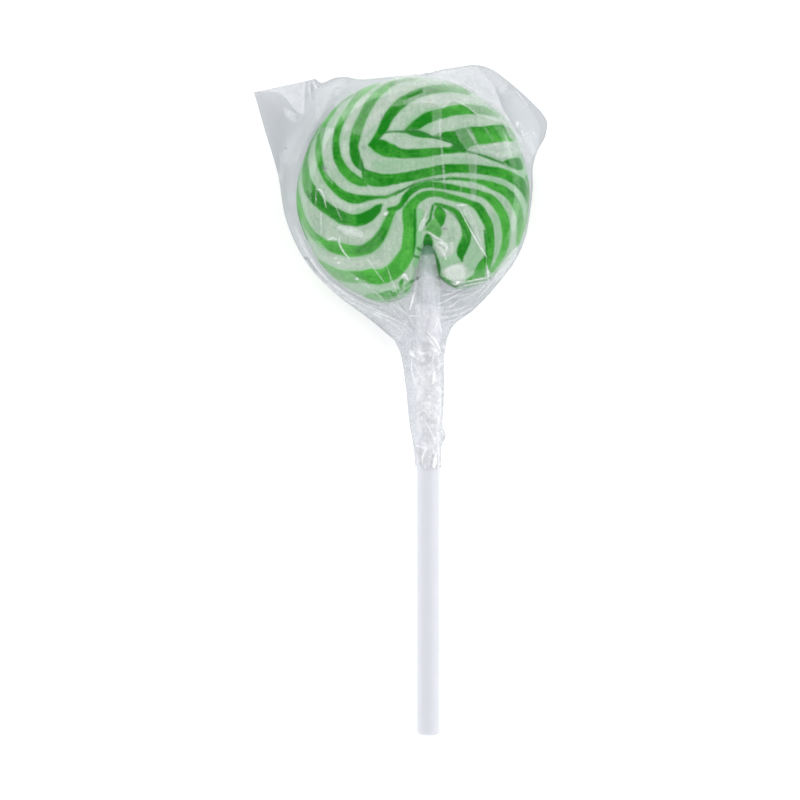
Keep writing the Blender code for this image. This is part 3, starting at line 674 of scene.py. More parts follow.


# Marks on the front sheet. Each is how white, how dark and how high it is, how soft its edge is, and its line of (x, y,
# width). Their whiteness is partly the film's whitening at a crease and partly a painted highlight or glint; their dark
# crease lines are painted shade.
MARKS = [
    # folded corner
    (0.22, 0.0, 0.08, 0.3, [(-21.4, 18.9, 0.2), (-21.4, 15.6, 0.2), (-21.5, 13.8, 0.1)]),
    (0.0, 0.25, 0, 0.4, [(-20.2, 18.6, 0.4), (-20.1, 17.0, 0.5), (-19.9, 15.7, 0.2)]),
    (0.8, 0.0, 0.075, 0.2, [(-19.9, 18.8, 0.2), (-19.6, 18.2, 0.4), (-19.3, 17.5, 0.1)]),
    (0.25, 0.0, 0.06, 0.2, [(-19.1, 17.0, 0.1), (-19.1, 14.5, 0.2), (-19.1, 12.0, 0.1)]),
    (0.16, 0.0, 0.03, 0.7, [(-25.0, 14.1, 0.4), (-24.0, 13.2, 1.2), (-23.3, 12.2, 0.6)]),
    (0.0, 0.05, 0, 0.6, [(-16.2, 17.0, 0.4), (-14.8, 16.9, 0.8), (-13.6, 16.9, 0.4)]),
    (0.0, 0.7, 0, 0.2, [(-26.65, 3.1, 0.3), (-26.6, 3.0, 0.3)]),
    (0.0, 0.35, 0, 0.2, [(-24.7, 7.3, 0.3), (-24.6, 7.2, 0.3)]),
    (0.0, 0.7, 0, 0.2, [(-21.2, -11.7, 0.3), (-21.15, -11.8, 0.3)]),
    (0.0, 0.6, 0, 0.2, [(-8.1, 12.9, 0.2), (-7.8, 12.5, 0.3)]),
    (0.0, 0.3, 0, 0.3, [(-11.4, 7.4, 0.4), (-11.0, 7.3, 0.4)]),
    (0.0, 0.6, 0, 0.25, [(-18.2, 3.9, 0.4), (-17.7, 3.6, 0.4)]),
    (0.0, 0.6, 0, 0.25, [(2.4, -6.6, 0.2), (3.1, -6.7, 0.3)]),
    (0.0, 0.10, 0.0, 1.5, [(-29.0, 15.9, 1.4), (-27.4, 13.4, 3.0), (-26.3, 9.5, 2.6), (-25.6, 5.0, 2.2),
                           (-24.3, -3.0, 0.5)]),
    # Painted shade: a dark line along the head's rim.
    (0.0, 0.30, 0.0, 0.2, [(-18.7, 11.5, 0.05), (-19.8, 9.8, 0.15), (-20.6, 7.75, 0.15), (-21.1, 5.4, 0.12),
                           (-21.5, 3.3, 0.05)]),
    # right of the middle
    (0.28, 0.0, 0.02, 0.4, [(2.0, 12.2, 0.1), (2.1, 9.0, 0.3), (2.3, 7.0, 0.2), (2.6, 4.0, 0.3), (2.8, 0.5, 0.1)]),
    (0.20, 0.0, 0.03, 0.5, [(9.2, 11.5, 0.1), (10.3, 9.9, 0.3), (11.6, 7.9, 0.1)]),
    (0.28, 0.0, 0.04, 0.2, [(5.0, 15.5, 0.1), (6.7, 14.3, 0.25), (8.6, 12.9, 0.1)]),
    (0.20, 0.0, 0.03, 0.4, [(6.1, 11.4, 0.1), (7.5, 9.3, 0.25), (8.9, 6.9, 0.1)]),
    (0.22, 0.0, 0.025, 0.2, [(0.75, 7.0, 0.1), (0.8, 4.0, 0.15), (0.9, -2.6, 0.1)]),
    (0.28, 0.0, 0.02, 0.2, [(2.3, 8.0, 0.1), (2.7, 3.0, 0.2), (3.1, -1.2, 0.1)]),
    (0.20, 0.0, 0.025, 0.2, [(5.3, 2.4, 0.1), (5.6, 0.4, 0.3), (5.7, -1.6, 0.1)]),
    (0.20, 0.0, 0.025, 0.4, [(12.9, 10.6, 0.1), (13.6, 8.6, 0.3), (14.0, 6.4, 0.1)]),
    (0.0, 0.08, 0.05, 0.6, [(9.0, 21.3, 0.3), (11.5, 18.0, 0.6), (12.5, 16.0, 0.5), (13.5, 12.0, 0.2)]),
    (0.45, 0.0, 0.05, 0.2, [(15.0, 17.3, 0.1), (16.2, 15.8, 0.3), (17.4, 14.3, 0.1)]),
    (0.7, 0.0, 0.06, 0.2, [(15.4, 11.9, 0.1), (15.4, 11.4, 0.4), (15.3, 10.9, 0.2)]),
    (0.6, 0.0, 0.05, 0.2, [(16.1, 10.1, 0.2), (16.3, 9.9, 0.2)]),
    (0.5, 0.0, 0.05, 0.2, [(18.2, 10.0, 0.2), (18.4, 9.6, 0.2)]),
    # lower left
    (0.35, 0.0, 0.025, 0.2, [(-19.4, 0.1, 0.1), (-19.4, -1.3, 0.15), (-19.4, -3.1, 0.1)]),
    (0.6, 0.0, 0.025, 0.2, [(-19.4, 0.2, 0.1), (-18.7, 0.1, 0.2), (-18.2, -0.7, 0.22), (-17.85, -2.0, 0.15),
                             (-17.7, -2.9, 0.1)]),
    (0.25, 0.0, 0.05, 0.2, [(-18.5, -3.4, 0.1), (-18.5, -5.6, 0.2), (-18.4, -8.0, 0.1)]),
    (0.50, 0.0, 0.06, 0.2, [(-17.5, -8.7, 0.1), (-16.5, -8.3, 0.3), (-15.9, -8.5, 0.1)]),
    (0.55, 0.0, 0.06, 0.2, [(-15.3, -8.0, 0.1), (-15.4, -8.8, 0.2), (-14.5, -10.8, 0.2), (-13.6, -11.9, 0.1)]),
    (0.35, 0.0, 0.06, 0.2, [(-10.5, -11.8, 0.1), (-9.1, -13.9, 0.2), (-7.7, -15.8, 0.1)]),
    (0.8, 0.0, 0.05, 0.25, [(-7.7, -4.3, 0.2), (-7.4, -4.1, 0.7), (-7.1, -3.9, 0.2)]),
    (0.6, 0.0, 0.05, 0.2, [(-15.8, -12.7, 0.1), (-15.4, -12.5, 0.3)]),
    (0.6, 0.0, 0.05, 0.2, [(-16.2, -11.9, 0.1), (-16.0, -11.7, 0.3)]),
    (0.6, 0.0, 0.05, 0.2, [(-12.7, -15.5, 0.1), (-12.3, -15.3, 0.4)]),
    (0.8, 0.0, 0.06, 0.3, [(-4.7, -15.1, 0.2), (-4.1, -14.8, 0.8), (-3.6, -15.4, 0.3)]),
    (0.6, 0.0, 0.05, 0.2, [(-6.2, -17.4, 0.2), (-5.6, -17.3, 0.3)]),
    (0.40, 0.0, 0.05, 1.2, [(-15.3, -6.4, 0.3), (-13.5, -7.0, 1.2), (-11.6, -7.8, 0.3)]),
    (0.0, 0.30, 0.025, 0.3, [(-22.3, -6.0, 0.1), (-20.9, -9.6, 0.2), (-18.2, -13.6, 0.3), (-15.0, -16.6, 0.3),
                            (-11.5, -18.9, 0.25), (-8.5, -20.0, 0.1)]),
    (0.45, 0.0, 0.025, 0.3, [(-22.9, -6.5, 0.1), (-21.3, -10.2, 0.2), (-18.6, -14.2, 0.3), (-15.2, -17.2, 0.3),
                            (-11.5, -19.6, 0.2), (-8.0, -21.2, 0.1)]),
    (0.0, 0.55, 0.025, 0.25, [(-21.0, -11.6, 0.3), (-18.6, -14.9, 0.3), (-15.6, -17.6, 0.3), (-12.0, -20.0, 0.1)]),
    (0.50, 0.0, 0.025, 0.4, [(-19.6, -14.0, 0.1), (-17.2, -16.4, 0.6), (-14.0, -18.8, 0.6), (-10.0, -21.4, 0.1)]),
    (0.35, 0.0, 0.025, 0.2, [(-16.0, -17.0, 0.1), (-12.6, -19.1, 0.2), (-9.4, -20.4, 0.2), (-6.4, -21.8, 0.1)]),
    (0.30, 0.0, 0.025, 0.2, [(-11.5, -15.5, 0.1), (-8.6, -18.1, 0.2), (-6.6, -20.2, 0.1)]),
    (0.30, 0.0, 0.025, 0.2, [(-7.3, -12.8, 0.1), (-6.7, -14.5, 0.2), (-6.5, -16.0, 0.1)]),
    (0.30, 0.0, 0.025, 0.2, [(-7.0, -13.5, 0.1), (-6.0, -16.3, 0.15), (-5.0, -18.8, 0.1)]),
    (0.30, 0.0, 0.025, 0.2, [(-19.3, -8.8, 0.1), (-18.0, -9.9, 0.2), (-17.0, -10.8, 0.1)]),
    (0.25, 0.0, 0.025, 0.2, [(-16.9, -0.8, 0.1), (-15.8, -3.2, 0.2), (-15.0, -5.2, 0.1)]),
    # lower right
    (0.60, 0.0, 0.1, 0.2, [(5.2, -3.0, 0.1), (7.9, -8.0, 0.25), (9.5, -10.7, 0.25), (10.0, -11.5, 0.1)]),
    (0.55, 0.0, 0.075, 0.3, [(4.6, -2.7, 0.1), (5.6, -2.6, 0.4), (6.6, -2.6, 0.1)]),
    (0.25, 0.0, 0.025, 0.3, [(0.3, -2.8, 0.1), (-0.4, -4.0, 0.4), (-0.9, -5.2, 0.2)]),
    (0.55, 0.0, 0.05, 0.2, [(-0.1, -7.2, 0.1), (1.4, -8.2, 0.25), (3.2, -9.3, 0.1)]),
    (0.70, 0.0, 0.04, 0.25, [(1.6, -8.9, 0.1), (2.6, -9.3, 0.3), (3.2, -9.9, 0.35), (3.0, -10.6, 0.1)]),
    (0.40, 0.0, 0.04, 0.4, [(1.9, -9.8, 0.1), (2.7, -10.9, 0.4), (3.0, -11.9, 0.1)]),
    (0.9, 0.0, 0.05, 0.2, [(4.8, -15.9, 0.3), (5.2, -15.9, 0.4)]),
    (0.55, 0.0, 0.05, 0.2, [(3.8, -15.8, 0.1), (4.6, -16.3, 0.25), (5.3, -15.9, 0.2), (6.5, -15.8, 0.2),
                           (8.5, -15.4, 0.25), (10.2, -15.1, 0.1)]),
    (0.50, 0.0, 0.05, 0.2, [(4.9, -16.9, 0.1), (7.0, -16.3, 0.25), (9.6, -15.8, 0.1)]),
    (0.0, 0.35, 0.025, 0.2, [(4.0, -16.4, 0.1), (6.0, -16.6, 0.25), (8.2, -16.0, 0.2), (10.0, -15.5, 0.1)]),
    (0.6, 0.0, 0.06, 0.2, [(10.1, -13.0, 0.1), (10.3, -14.3, 0.3), (10.4, -15.5, 0.1)]),
    (0.0, 0.6, 0, 0.2, [(10.6, -15.1, 0.3), (10.8, -15.4, 0.2)]),
    # neck
    (0.56, 0.00, 0.05, 0.2, [(-12.0, -20.2, 0.1), (-8.4, -21.3, 0.2), (-5.9, -22.3, 0.2), (-3.4, -23.7, 0.1)]),
    (0.50, 0.00, 0.05, 0.2, [(-11.0, -20.6, 0.1), (-8.4, -21.8, 0.2), (-6.1, -23.0, 0.2), (-4.4, -24.6, 0.1)]),
    (0.31, 0.00, 0.04, 0.2, [(-7.9, -18.7, 0.1), (-4.7, -22.2, 0.2), (-2.0, -25.4, 0.1)]),
    (0.31, 0.00, 0.04, 0.2, [(-6.9, -17.7, 0.1), (-3.9, -21.4, 0.2), (-2.2, -23.6, 0.1)]),
    (0.88, 0.00, 0.06, 0.2, [(-2.4, -17.6, 0.1), (-2.8, -19.2, 0.3), (-3.2, -20.6, 0.1)]),
    (0.75, 0.00, 0.04, 0.2, [(-3.1, -21.7, 0.2), (-2.3, -21.7, 0.2)]),
    (0.50, 0.00, 0.04, 0.2, [(1.6, -19.7, 0.1), (3.2, -19.0, 0.2), (5.4, -17.8, 0.1)]),
    (0.44, 0.00, 0.04, 0.2, [(1.6, -20.3, 0.1), (4.0, -20.0, 0.2), (5.4, -18.7, 0.1)]),
    (0.38, 0.00, 0.04, 0.2, [(1.5, -20.9, 0.1), (4.5, -20.7, 0.2), (7.4, -19.7, 0.1)]),
    (0.00, 0.35, 0.025, 0.3, [(2.2, -17.4, 0.1), (4.6, -17.7, 0.3), (7.0, -16.9, 0.1)]),
    (0.00, 0.32, 0.025, 0.3, [(2.4, -18.6, 0.1), (5.0, -17.9, 0.25), (8.2, -17.3, 0.1)]),
    (0.00, 0.32, 0.025, 0.3, [(-5.0, -19.4, 0.1), (-3.6, -21.8, 0.25), (-2.6, -24.2, 0.1)]),
    (0.75, 0.00, 0.05, 0.2, [(1.7, -22.0, 0.1), (2.0, -23.4, 0.3), (2.3, -25.2, 0.1)]),
    (0.62, 0.00, 0.05, 0.2, [(-0.2, -24.4, 0.1), (1.5, -26.4, 0.3), (2.2, -28.1, 0.1)]),
    (0.56, 0.00, 0.05, 0.2, [(-0.6, -24.9, 0.1), (0.8, -26.6, 0.2), (1.9, -28.3, 0.1)]),
    (0.00, 0.35, 0.025, 0.2, [(-1.25, -26.3, 0.1), (-1.1, -27.0, 0.2)]),
    (0.00, 0.35, 0.025, 0.2, [(-0.75, -26.4, 0.1), (-0.6, -27.4, 0.2)]),
    (0.00, 0.35, 0.025, 0.2, [(-0.25, -26.3, 0.1), (-0.2, -27.2, 0.2)]),
    (0.00, 0.35, 0.025, 0.2, [(0.2, -26.6, 0.1), (0.35, -27.4, 0.2)]),
    (0.80, 0.00, 0.075, 0.2, [(-3.1, -27.7, 0.2), (-2.8, -28.3, 0.6), (-2.2, -28.8, 0.2)]),
    (0.50, 0.00, 0.075, 0.2, [(-1.7, -27.8, 0.2), (-1.2, -28.2, 0.4), (-0.6, -28.1, 0.2)]),
    (0.75, 0.00, 0.05, 0.2, [(0.8, -27.4, 0.2), (1.3, -27.8, 0.4)]),
    (0.55, 0.0, 0.05, 0.2, [(1.9, -18.3, 0.1), (3.6, -17.9, 0.2), (5.8, -17.0, 0.1)]),
    (0.50, 0.0, 0.05, 0.2, [(1.8, -22.0, 0.1), (5.0, -21.6, 0.2), (7.8, -20.2, 0.1)]),
    (0.45, 0.0, 0.05, 0.2, [(1.8, -23.4, 0.1), (3.8, -22.6, 0.2), (6.0, -21.8, 0.1)]),
    (0.0, 0.30, 0.05, 0.2, [(1.8, -19.2, 0.1), (4.6, -18.9, 0.2), (7.6, -18.0, 0.1)]),
    (0.0, 0.25, 0.05, 0.2, [(1.8, -21.4, 0.1), (4.4, -21.2, 0.2), (8.0, -19.4, 0.1)]),
    (0.0, 0.25, 0.05, 0.2, [(2.0, -22.7, 0.1), (4.4, -22.0, 0.2), (6.6, -21.2, 0.1)]),
    (0.45, 0.0, 0.05, 0.2, [(10.6, -15.6, 0.1), (8.6, -17.4, 0.2), (5.6, -18.9, 0.1)]),
    (0.40, 0.0, 0.05, 0.2, [(11.8, -14.6, 0.1), (10.4, -16.6, 0.2), (8.6, -18.6, 0.1)]),
    (0.0, 0.25, 0.05, 0.2, [(-9.6, -20.2, 0.1), (-6.6, -21.4, 0.2), (-4.0, -23.4, 0.1)]),
    (0.0, 0.25, 0.05, 0.2, [(-7.4, -19.6, 0.1), (-5.2, -21.4, 0.2), (-3.2, -23.6, 0.1)]),
    (0.50, 0.0, 0.05, 0.2, [(-6.4, -19.4, 0.1), (-4.4, -20.8, 0.2), (-2.7, -22.6, 0.1)]),
    # tail
    (0.50, 0.0, 0.05, 0.2, [(-2.9, -29.1, 0.1), (-2.8, -31.6, 0.3), (-2.2, -33.5, 0.1)]),
    (0.55, 0.0, 0.05, 0.2, [(0.8, -30.4, 0.2), (1.0, -32.0, 0.5), (0.8, -33.4, 0.2)]),
    (0.0, 0.16, 0.025, 0.3, [(-2.0, -37.0, 0.2), (-0.7, -38.8, 0.3), (0.5, -40.8, 0.2)]),
    (0.40, 0.0, 0.05, 0.2, [(-0.8, -39.5, 0.1), (0.6, -42.0, 0.25), (1.2, -43.6, 0.1)]),
    (0.0, 0.16, 0, 0.3, [(-2.0, -44.3, 0.3), (-1.6, -45.5, 1.0), (-1.3, -47.0, 0.4)]),
    (0.55, 0.0, 0.04, 0.2, [(-2.1, -44.1, 0.1), (-0.4, -44.5, 0.2)]),
    (0.60, 0.0, 0.04, 0.2, [(-0.4, -44.5, 0.1), (-1.0, -46.0, 0.25), (-1.1, -47.2, 0.1)]),
    (0.80, 0.0, 0.06, 0.2, [(1.3, -45.6, 0.2), (1.1, -46.8, 0.6), (0.9, -47.9, 0.4)]),
]
# Facets of the front sheet that catch the light, their reflection painted as a white haze: how white, how soft their
# edge, and their outline.
HAZES = [
    # folded corner
    (0.36, 0.2, [(-30.1, 16.9), (-27.5, 17.0), (-25.6, 16.75), (-24.4, 15.7), (-23.5, 14.4), (-22.4, 13.3),
                 (-21.45, 13.0), (-21.4, 17.2), (-21.1, 19.1), (-24.0, 18.4), (-28.0, 17.5)]),
    (0.15, 0.5, [(-25.2, 14.5), (-24.3, 14.15), (-23.2, 13.4), (-22.3, 12.7), (-22.6, 11.9), (-23.9, 11.7),
                 (-24.7, 12.7)]),
    (0.30, 0.2, [(-20.6, 18.9), (-20.9, 17.5), (-20.2, 16.0), (-20.35, 17.8), (-20.2, 18.9)]),
    (0.05, 0.8, [(-22.3, 12.0), (-24.5, 7.5), (-26.0, 2.8), (-24.9, -3.0), (-22.8, -2.5), (-22.5, 2.0),
                 (-21.2, 6.5), (-19.2, 11.2), (-19.0, 16.5), (-21.3, 16.5)]),
    (0.11, 0.3, [(-18.9, 12.2), (-18.7, 18.7), (-16.0, 19.3), (-12.5, 19.1), (-8.0, 19.4), (-8.0, 18.6),
                 (-13.5, 16.9), (-14.6, 16.1), (-16.1, 16.4), (-15.9, 17.3), (-13.4, 17.4), (-16.0, 18.0)]),
    # over the top of the head
    (0.15, 0.6, [(-13.4, 9.8), (-11.5, 9.2), (-9.1, 11.6), (-6.6, 14.35), (-4.4, 14.55), (-4.4, 15.95),
                 (-1.05, 17.25), (-0.5, 19.6), (-5.0, 19.6), (-12.0, 18.2), (-16.5, 15.2), (-14.6, 12.0)]),
    (0.30, 1.2, [(-6.0, 17.9), (-1.0, 17.9), (3.0, 18.6), (6.5, 17.8), (6.0, 19.4), (3.0, 20.3), (-2.0, 20.0),
                 (-6.0, 19.5)]),
    (0.22, 0.4, [(-4.4, 15.5), (-1.05, 16.8), (-1.05, 18.6), (3.0, 18.8), (7.0, 17.6), (8.5, 15.6), (6.0, 14.6),
                  (4.4, 15.2), (2.3, 13.9), (1.0, 14.9), (-1.5, 15.0), (-4.4, 14.6)]),
    (0.13, 0.2, [(-19.0, 11.1), (-18.3, 7.0), (-18.0, 5.4), (-17.1, 4.9), (-16.5, 5.5), (-16.3, 8.5),
                 (-16.1, 10.5)]),
    (0.15, 0.2, [(-18.3, 3.6), (-17.4, 3.7), (-16.2, 1.6), (-16.6, 1.0), (-17.6, 1.9)]),
    # right of the middle
    (0.15, 0.15, [(0.6, 14.2), (1.5, 15.0), (2.4, 14.0), (2.4, 12.2), (2.25, 9.5), (0.9, 9.2), (0.65, 11.8)]),
    (0.04, 0.2, [(0.75, 9.5), (0.9, 4.0), (0.9, -3.0), (3.1, -3.0), (2.6, 4.0), (2.25, 9.5)]),
    (0.25, 0.2, [(5.7, 15.2), (8.4, 12.9), (12.9, 11.5), (13.9, 9.2), (15.1, 8.2), (16.6, 8.0), (13.5, 13.0),
                 (9.6, 16.0), (7.0, 17.3)]),
    (0.16, 0.3, [(4.4, 10.3), (6.5, 11.4), (7.4, 10.7), (9.0, 7.4), (6.7, 6.8), (5.4, 8.4)]),
    (0.16, 0.3, [(6.5, 6.9), (8.7, 7.6), (8.4, 4.0), (8.35, -2.0), (7.4, -2.0), (7.1, 2.0)]),
    (0.22, 0.6, [(8.7, 7.6), (13.0, 8.3), (16.0, 8.0), (16.8, 6.6), (12.7, 5.4), (9.0, 6.5)]),
    (0.32, 0.3, [(-1.0, 19.8), (3.0, 20.7), (7.5, 21.5), (8.5, 21.3), (11.4, 17.9), (12.6, 14.6), (14.6, 11.2),
                 (11.0, 15.0), (6.0, 18.2), (1.0, 19.4)]),
    (0.02, 0.8, [(15.0, 12.0), (17.0, 14.5), (19.2, 13.0), (20.0, 10.5), (18.0, 6.5), (17.6, 1.0), (17.0, 5.0)]),
    (0.06, 0.8, [(13.0, 2.0), (16.5, -2.0), (16.5, -7.0), (14.0, -10.0), (13.8, -4.0)]),
    # lower left
    (0.08, 0.8, [(-21.5, -3.0), (-16.0, -6.2), (-8.5, -6.2), (-7.6, -9.0), (-6.5, -12.5), (-11.9, -13.8),
                 (-10.0, -16.0), (-12.0, -18.0), (-18.0, -13.5), (-22.0, -8.0)]),
    (0.05, 0.6, [(-22.5, 3.0), (-19.3, 0.5), (-13.3, -4.2), (-13.0, -6.2), (-16.0, -6.4), (-21.5, -3.0)]),
    (0.12, 0.15, [(-19.5, -11.6), (-12.65, -14.0), (-12.3, -15.0), (-10.6, -16.4), (-9.4, -17.6), (-7.0, -18.6),
                  (-8.0, -19.3), (-13.0, -18.2), (-18.0, -14.2)]),
    (0.16, 0.3, [(-14.8, -8.0), (-13.9, -6.9), (-12.5, -6.5), (-11.2, -7.1), (-11.6, -8.2), (-13.2, -8.7)]),
    (0.11, 0.3, [(-19.2, -7.5), (-18.9, -4.2), (-18.2, -3.6), (-18.1, -6.0), (-18.3, -8.2)]),
    (0.11, 0.6, [(-20.9, -9.1), (-17.8, -15.5), (-14.2, -17.4), (-11.4, -18.6), (-7.0, -19.6), (-7.0, -21.4),
                 (-14.0, -19.5), (-21.0, -12.6), (-23.6, -6.0)]),
    # lower right
    (0.21, 0.15, [(5.5, -3.0), (6.9, -2.9), (7.9, -5.0), (8.6, -7.0), (9.7, -10.8), (8.0, -7.3), (6.4, -4.6)]),
    (0.17, 0.3, [(1.0, -8.8), (2.5, -9.0), (4.4, -8.9), (4.6, -10.5), (4.0, -11.8), (2.4, -11.6), (1.2, -10.3)]),
    (0.14, 0.3, [(2.3, -12.0), (3.6, -11.3), (4.9, -10.6), (5.2, -12.2), (4.2, -13.0), (2.9, -13.6)]),
    (0.12, 0.2, [(-0.9, -6.9), (0.2, -5.5), (1.0, -4.7), (2.2, -6.2), (2.5, -7.2), (1.9, -8.2), (0.8, -7.6)]),
    (0.30, 0.8, [(2.8, -13.8), (3.6, -13.1), (4.6, -12.8), (5.4, -12.8), (6.2, -13.3), (6.4, -14.2), (6.2, -15.4),
                 (4.5, -15.8), (3.4, -15.0)]),
    (0.28, 0.3, [(-0.6, -4.6), (-0.2, -5.0), (-0.8, -6.3), (-1.4, -7.3), (-1.8, -6.8), (-1.4, -5.4)]),
    (0.28, 0.5, [(12.2, -13.4), (14.4, -10.4), (15.4, -9.4), (15.2, -11.5), (12.6, -15.2), (11.2, -15.8),
                 (11.6, -14.4)]),
    # over the stick and round the neck
    # Painted light: these whiten the film over the slot and over the stick down the neck and tail, lifting the shade
    # there.
    (0.20, 0.5, [(-1.5, -11.2), (1.1, -11.0), (1.9, -15.0), (-2.3, -15.0)]),
    (0.62, 2.0, [(-2.4, -32.0), (2.2, -32.0), (2.2, -40.0), (-1.8, -40.0)]),
    (0.52, 1.5, [(-2.3, -19.5), (2.1, -19.5), (1.8, -28.0), (-1.9, -28.0)]),
    (0.26, 0.25, [(-2.5, -17.0), (-2.3, -15.9), (-1.4, -15.0), (-0.2, -14.75), (1.2, -14.9), (1.9, -15.7),
                  (2.1, -17.0), (1.9, -22.0), (1.6, -26.0), (-1.8, -26.0), (-2.2, -22.0)]),
    (0.15, 0.2, [(-0.8, -21.1), (0.4, -20.9), (0.7, -21.7), (-0.2, -22.3), (-0.9, -21.9)]),
    (0.20, 0.3, [(8.5, 21.3), (11.5, 20.6), (14.0, 18.4), (12.8, 16.5), (11.5, 17.9)]),
    (0.04, 0.3, [(14.0, 18.4), (16.2, 16.4), (17.0, 13.5), (14.5, 13.2), (13.0, 15.8)]),
    (0.06, 0.3, [(15.2, 11.4), (17.5, 12.6), (18.7, 10.4), (16.6, 9.4)]),
    (0.18, 0.5, [(15.6, 9.5), (17.6, 9.8), (18.4, 7.0), (17.6, 4.5), (16.6, 5.5)]),
    (0.12, 1.5, [(2.0, -17.0), (2.0, -26.0), (7.0, -21.0), (9.5, -18.5)]),
    (0.24, 1.5, [(-6.5, -20.0), (-2.3, -17.5), (-2.2, -26.0), (-5.4, -26.0), (-10.0, -21.5)]),
]

neck_at = np.array([-0.8, -27.0])
grid_shape = (ROWS + 1, COLUMNS + 1)
edge_depth = np.minimum.reduce([
    distance_to(flat, curve_through(line, 1.0))[0]
    for line in (BAG_LEFT + TAIL_LEFT[1:], BAG_RIGHT + TAIL_RIGHT[1:], BAG_TOP)
]).reshape(grid_shape)
left_depth = distance_to(flat, curve_through(BAG_LEFT + TAIL_LEFT[1:], 1.0))[0].reshape(grid_shape)
base_lift = sampled(lift, flat).reshape(grid_shape)
floor_lift = sampled(held, flat).reshape(grid_shape)
rows_v, cols_u = np.broadcast_to(down[:, None], grid_shape), np.broadcast_to(over[None], grid_shape)
in_tail = smooth(rows_v, NECK - 0.01, NECK + 0.02)


def patchy(at, draw, size, share):
    """1 on soft patches of about this size, covering about this share of the sheet, and 0 between them."""
    made = np.zeros(len(at))
    for _ in range(4):
        turn, shift, stretch = draw.uniform(0, 2 * math.pi), draw.uniform(0, 6.3), draw.uniform(0.6, 1.5)
        made += np.sin(at @ np.array([math.cos(turn), math.sin(turn)]) * 3.1 / (size * stretch) + shift)
    return smooth(made, 1.8 - 3.6 * share - 0.4, 1.8 - 3.6 * share + 0.4)


def folds(at, draw, waves, size, sharp):
    """(height, crests) of straight folds about this far apart, each running only part of the way."""
    height, crests = np.zeros(len(at)), np.zeros(len(at))
    for _ in range(waves):
        turn, shift, stretch = draw.uniform(0, math.pi), draw.uniform(), draw.uniform(0.7, 1.5)
        bow = np.sin(at @ np.array([-math.sin(turn), math.cos(turn)]) / (size * 2.1) + 6 * shift)
        fold = zigzag(at @ np.array([math.cos(turn), math.sin(turn)]) / (size * stretch) + shift + 0.1 * bow)
        patch = patchy(at, draw, size * 1.6, 0.45)
        height += fold * (0.3 + 0.7 * patch)
        crests = np.maximum(crests, smooth(fold, 1 - 2 * sharp / (size * stretch), 1) * patch)
    return height / waves, crests


def sheet_shape(seed, marks, hazes):
    """(height, milkiness with painted sheen, whiteness with painted highlights, darkness with painted shade) over one
    sheet, with its pleats, crumples and marks.
    """
    draw = np.random.default_rng(seed)
    rel = flat - neck_at
    reach = np.linalg.norm(rel, axis=1)
    turn = np.degrees(np.arctan2(rel[:, 0], rel[:, 1]))
    fan = np.column_stack([turn * 0.16, reach * 0.22])
    near = np.exp(-np.maximum(reach - 5.5, 0) / 4.0).reshape(grid_shape) * (1 - in_tail)
    pleats, pleat_lines = (part.reshape(grid_shape) for part in folds_along(fan, draw))
    wide, _ = (part.reshape(grid_shape) for part in folds(flat, draw, 5, 12.0, 0.2))
    middle, _ = (part.reshape(grid_shape) for part in folds(flat, draw, 5, 5.0, 0.2))
    squeeze = flat * (1.0, 0.62)
    crush, crush_lines = (part.reshape(grid_shape) for part in folds(squeeze, draw, 7, 1.3, 0.12))
    big_crush, big_lines = (part.reshape(grid_shape) for part in folds(squeeze, draw, 5, 2.6, 0.14))
    shade = patchy(flat * (1.0, 0.7), draw, 0.9, 0.35).reshape(grid_shape)
    gloss = patchy(flat * (1.0, 0.5), draw, 0.8, 0.3).reshape(grid_shape)
    calm = smooth(left_depth, 0.9, 2.0)
    cloud = patchy(flat, draw, 5.0, 0.5).reshape(grid_shape)
    loose = smooth(base_lift - floor_lift, 0.05, 0.8)
    off_edge = smooth(edge_depth, 0.0, 0.9)
    height = off_edge * (
        0.2 * near * pleats + (0.15 * wide + 0.12 * middle) * (0.3 + 0.7 * loose)
        + in_tail * calm * (0.6 * crush + 0.8 * big_crush)
    )
    over_stick = smooth(np.abs(flat[:, 0] - stick_x), 2.3, 1.7).reshape(grid_shape)
    # The film's own faint milkiness, whiter in the crumpled tail; the extra over the stick is painted light.
    veil_and_sheen = 0.003 + 0.017 * cloud + in_tail * (0.20 + 0.24 * over_stick)
    crinkle = in_tail * calm
    # Painted highlights on the crests of the pleats at the neck and of the crumples in the tail, and painted shade in
    # patches of the tail.
    white = 0.20 * near * pleat_lines + crinkle * np.maximum(0.08 * crush_lines, 0.12 * big_lines)
    dark = crinkle * 0.05 * shade * (1 - white)
    dark = np.maximum(dark, 0.07 * np.clip(1.3 - edge_depth / 0.2, 0, 1))
    seen = seen_at(flat, base_lift.reshape(-1))
    for whiteness, darkness, ridge, soft, line in marks:
        gap, width = (part.reshape(grid_shape) for part in stroke_of(seen, line, 2.0))
        cover = np.clip(0.5 + (width / 2 - gap) / soft, 0, 1)
        white = np.maximum(white, whiteness * cover)
        dark = np.maximum(dark, darkness * cover)
        height += ridge * np.exp(-gap / (0.15 + 0.5 * width))
    for whiteness, soft, loop in hazes:
        loop = np.array(loop)
        close = around(seen, loop, soft)
        depth = np.full(len(seen), -9.0)
        depth[close] = depth_inside(seen[close], loop)
        depth = depth.reshape(grid_shape)
        brim = 0.9 + 0.25 * np.exp(-np.maximum(depth, 0) / 0.5)
        veil_and_sheen = np.maximum(veil_and_sheen, whiteness * brim * smooth(depth, -soft / 2, soft / 2))
    return height, {"veil_and_sheen": veil_and_sheen, "white": white, "dark": dark, "crinkle": crinkle}


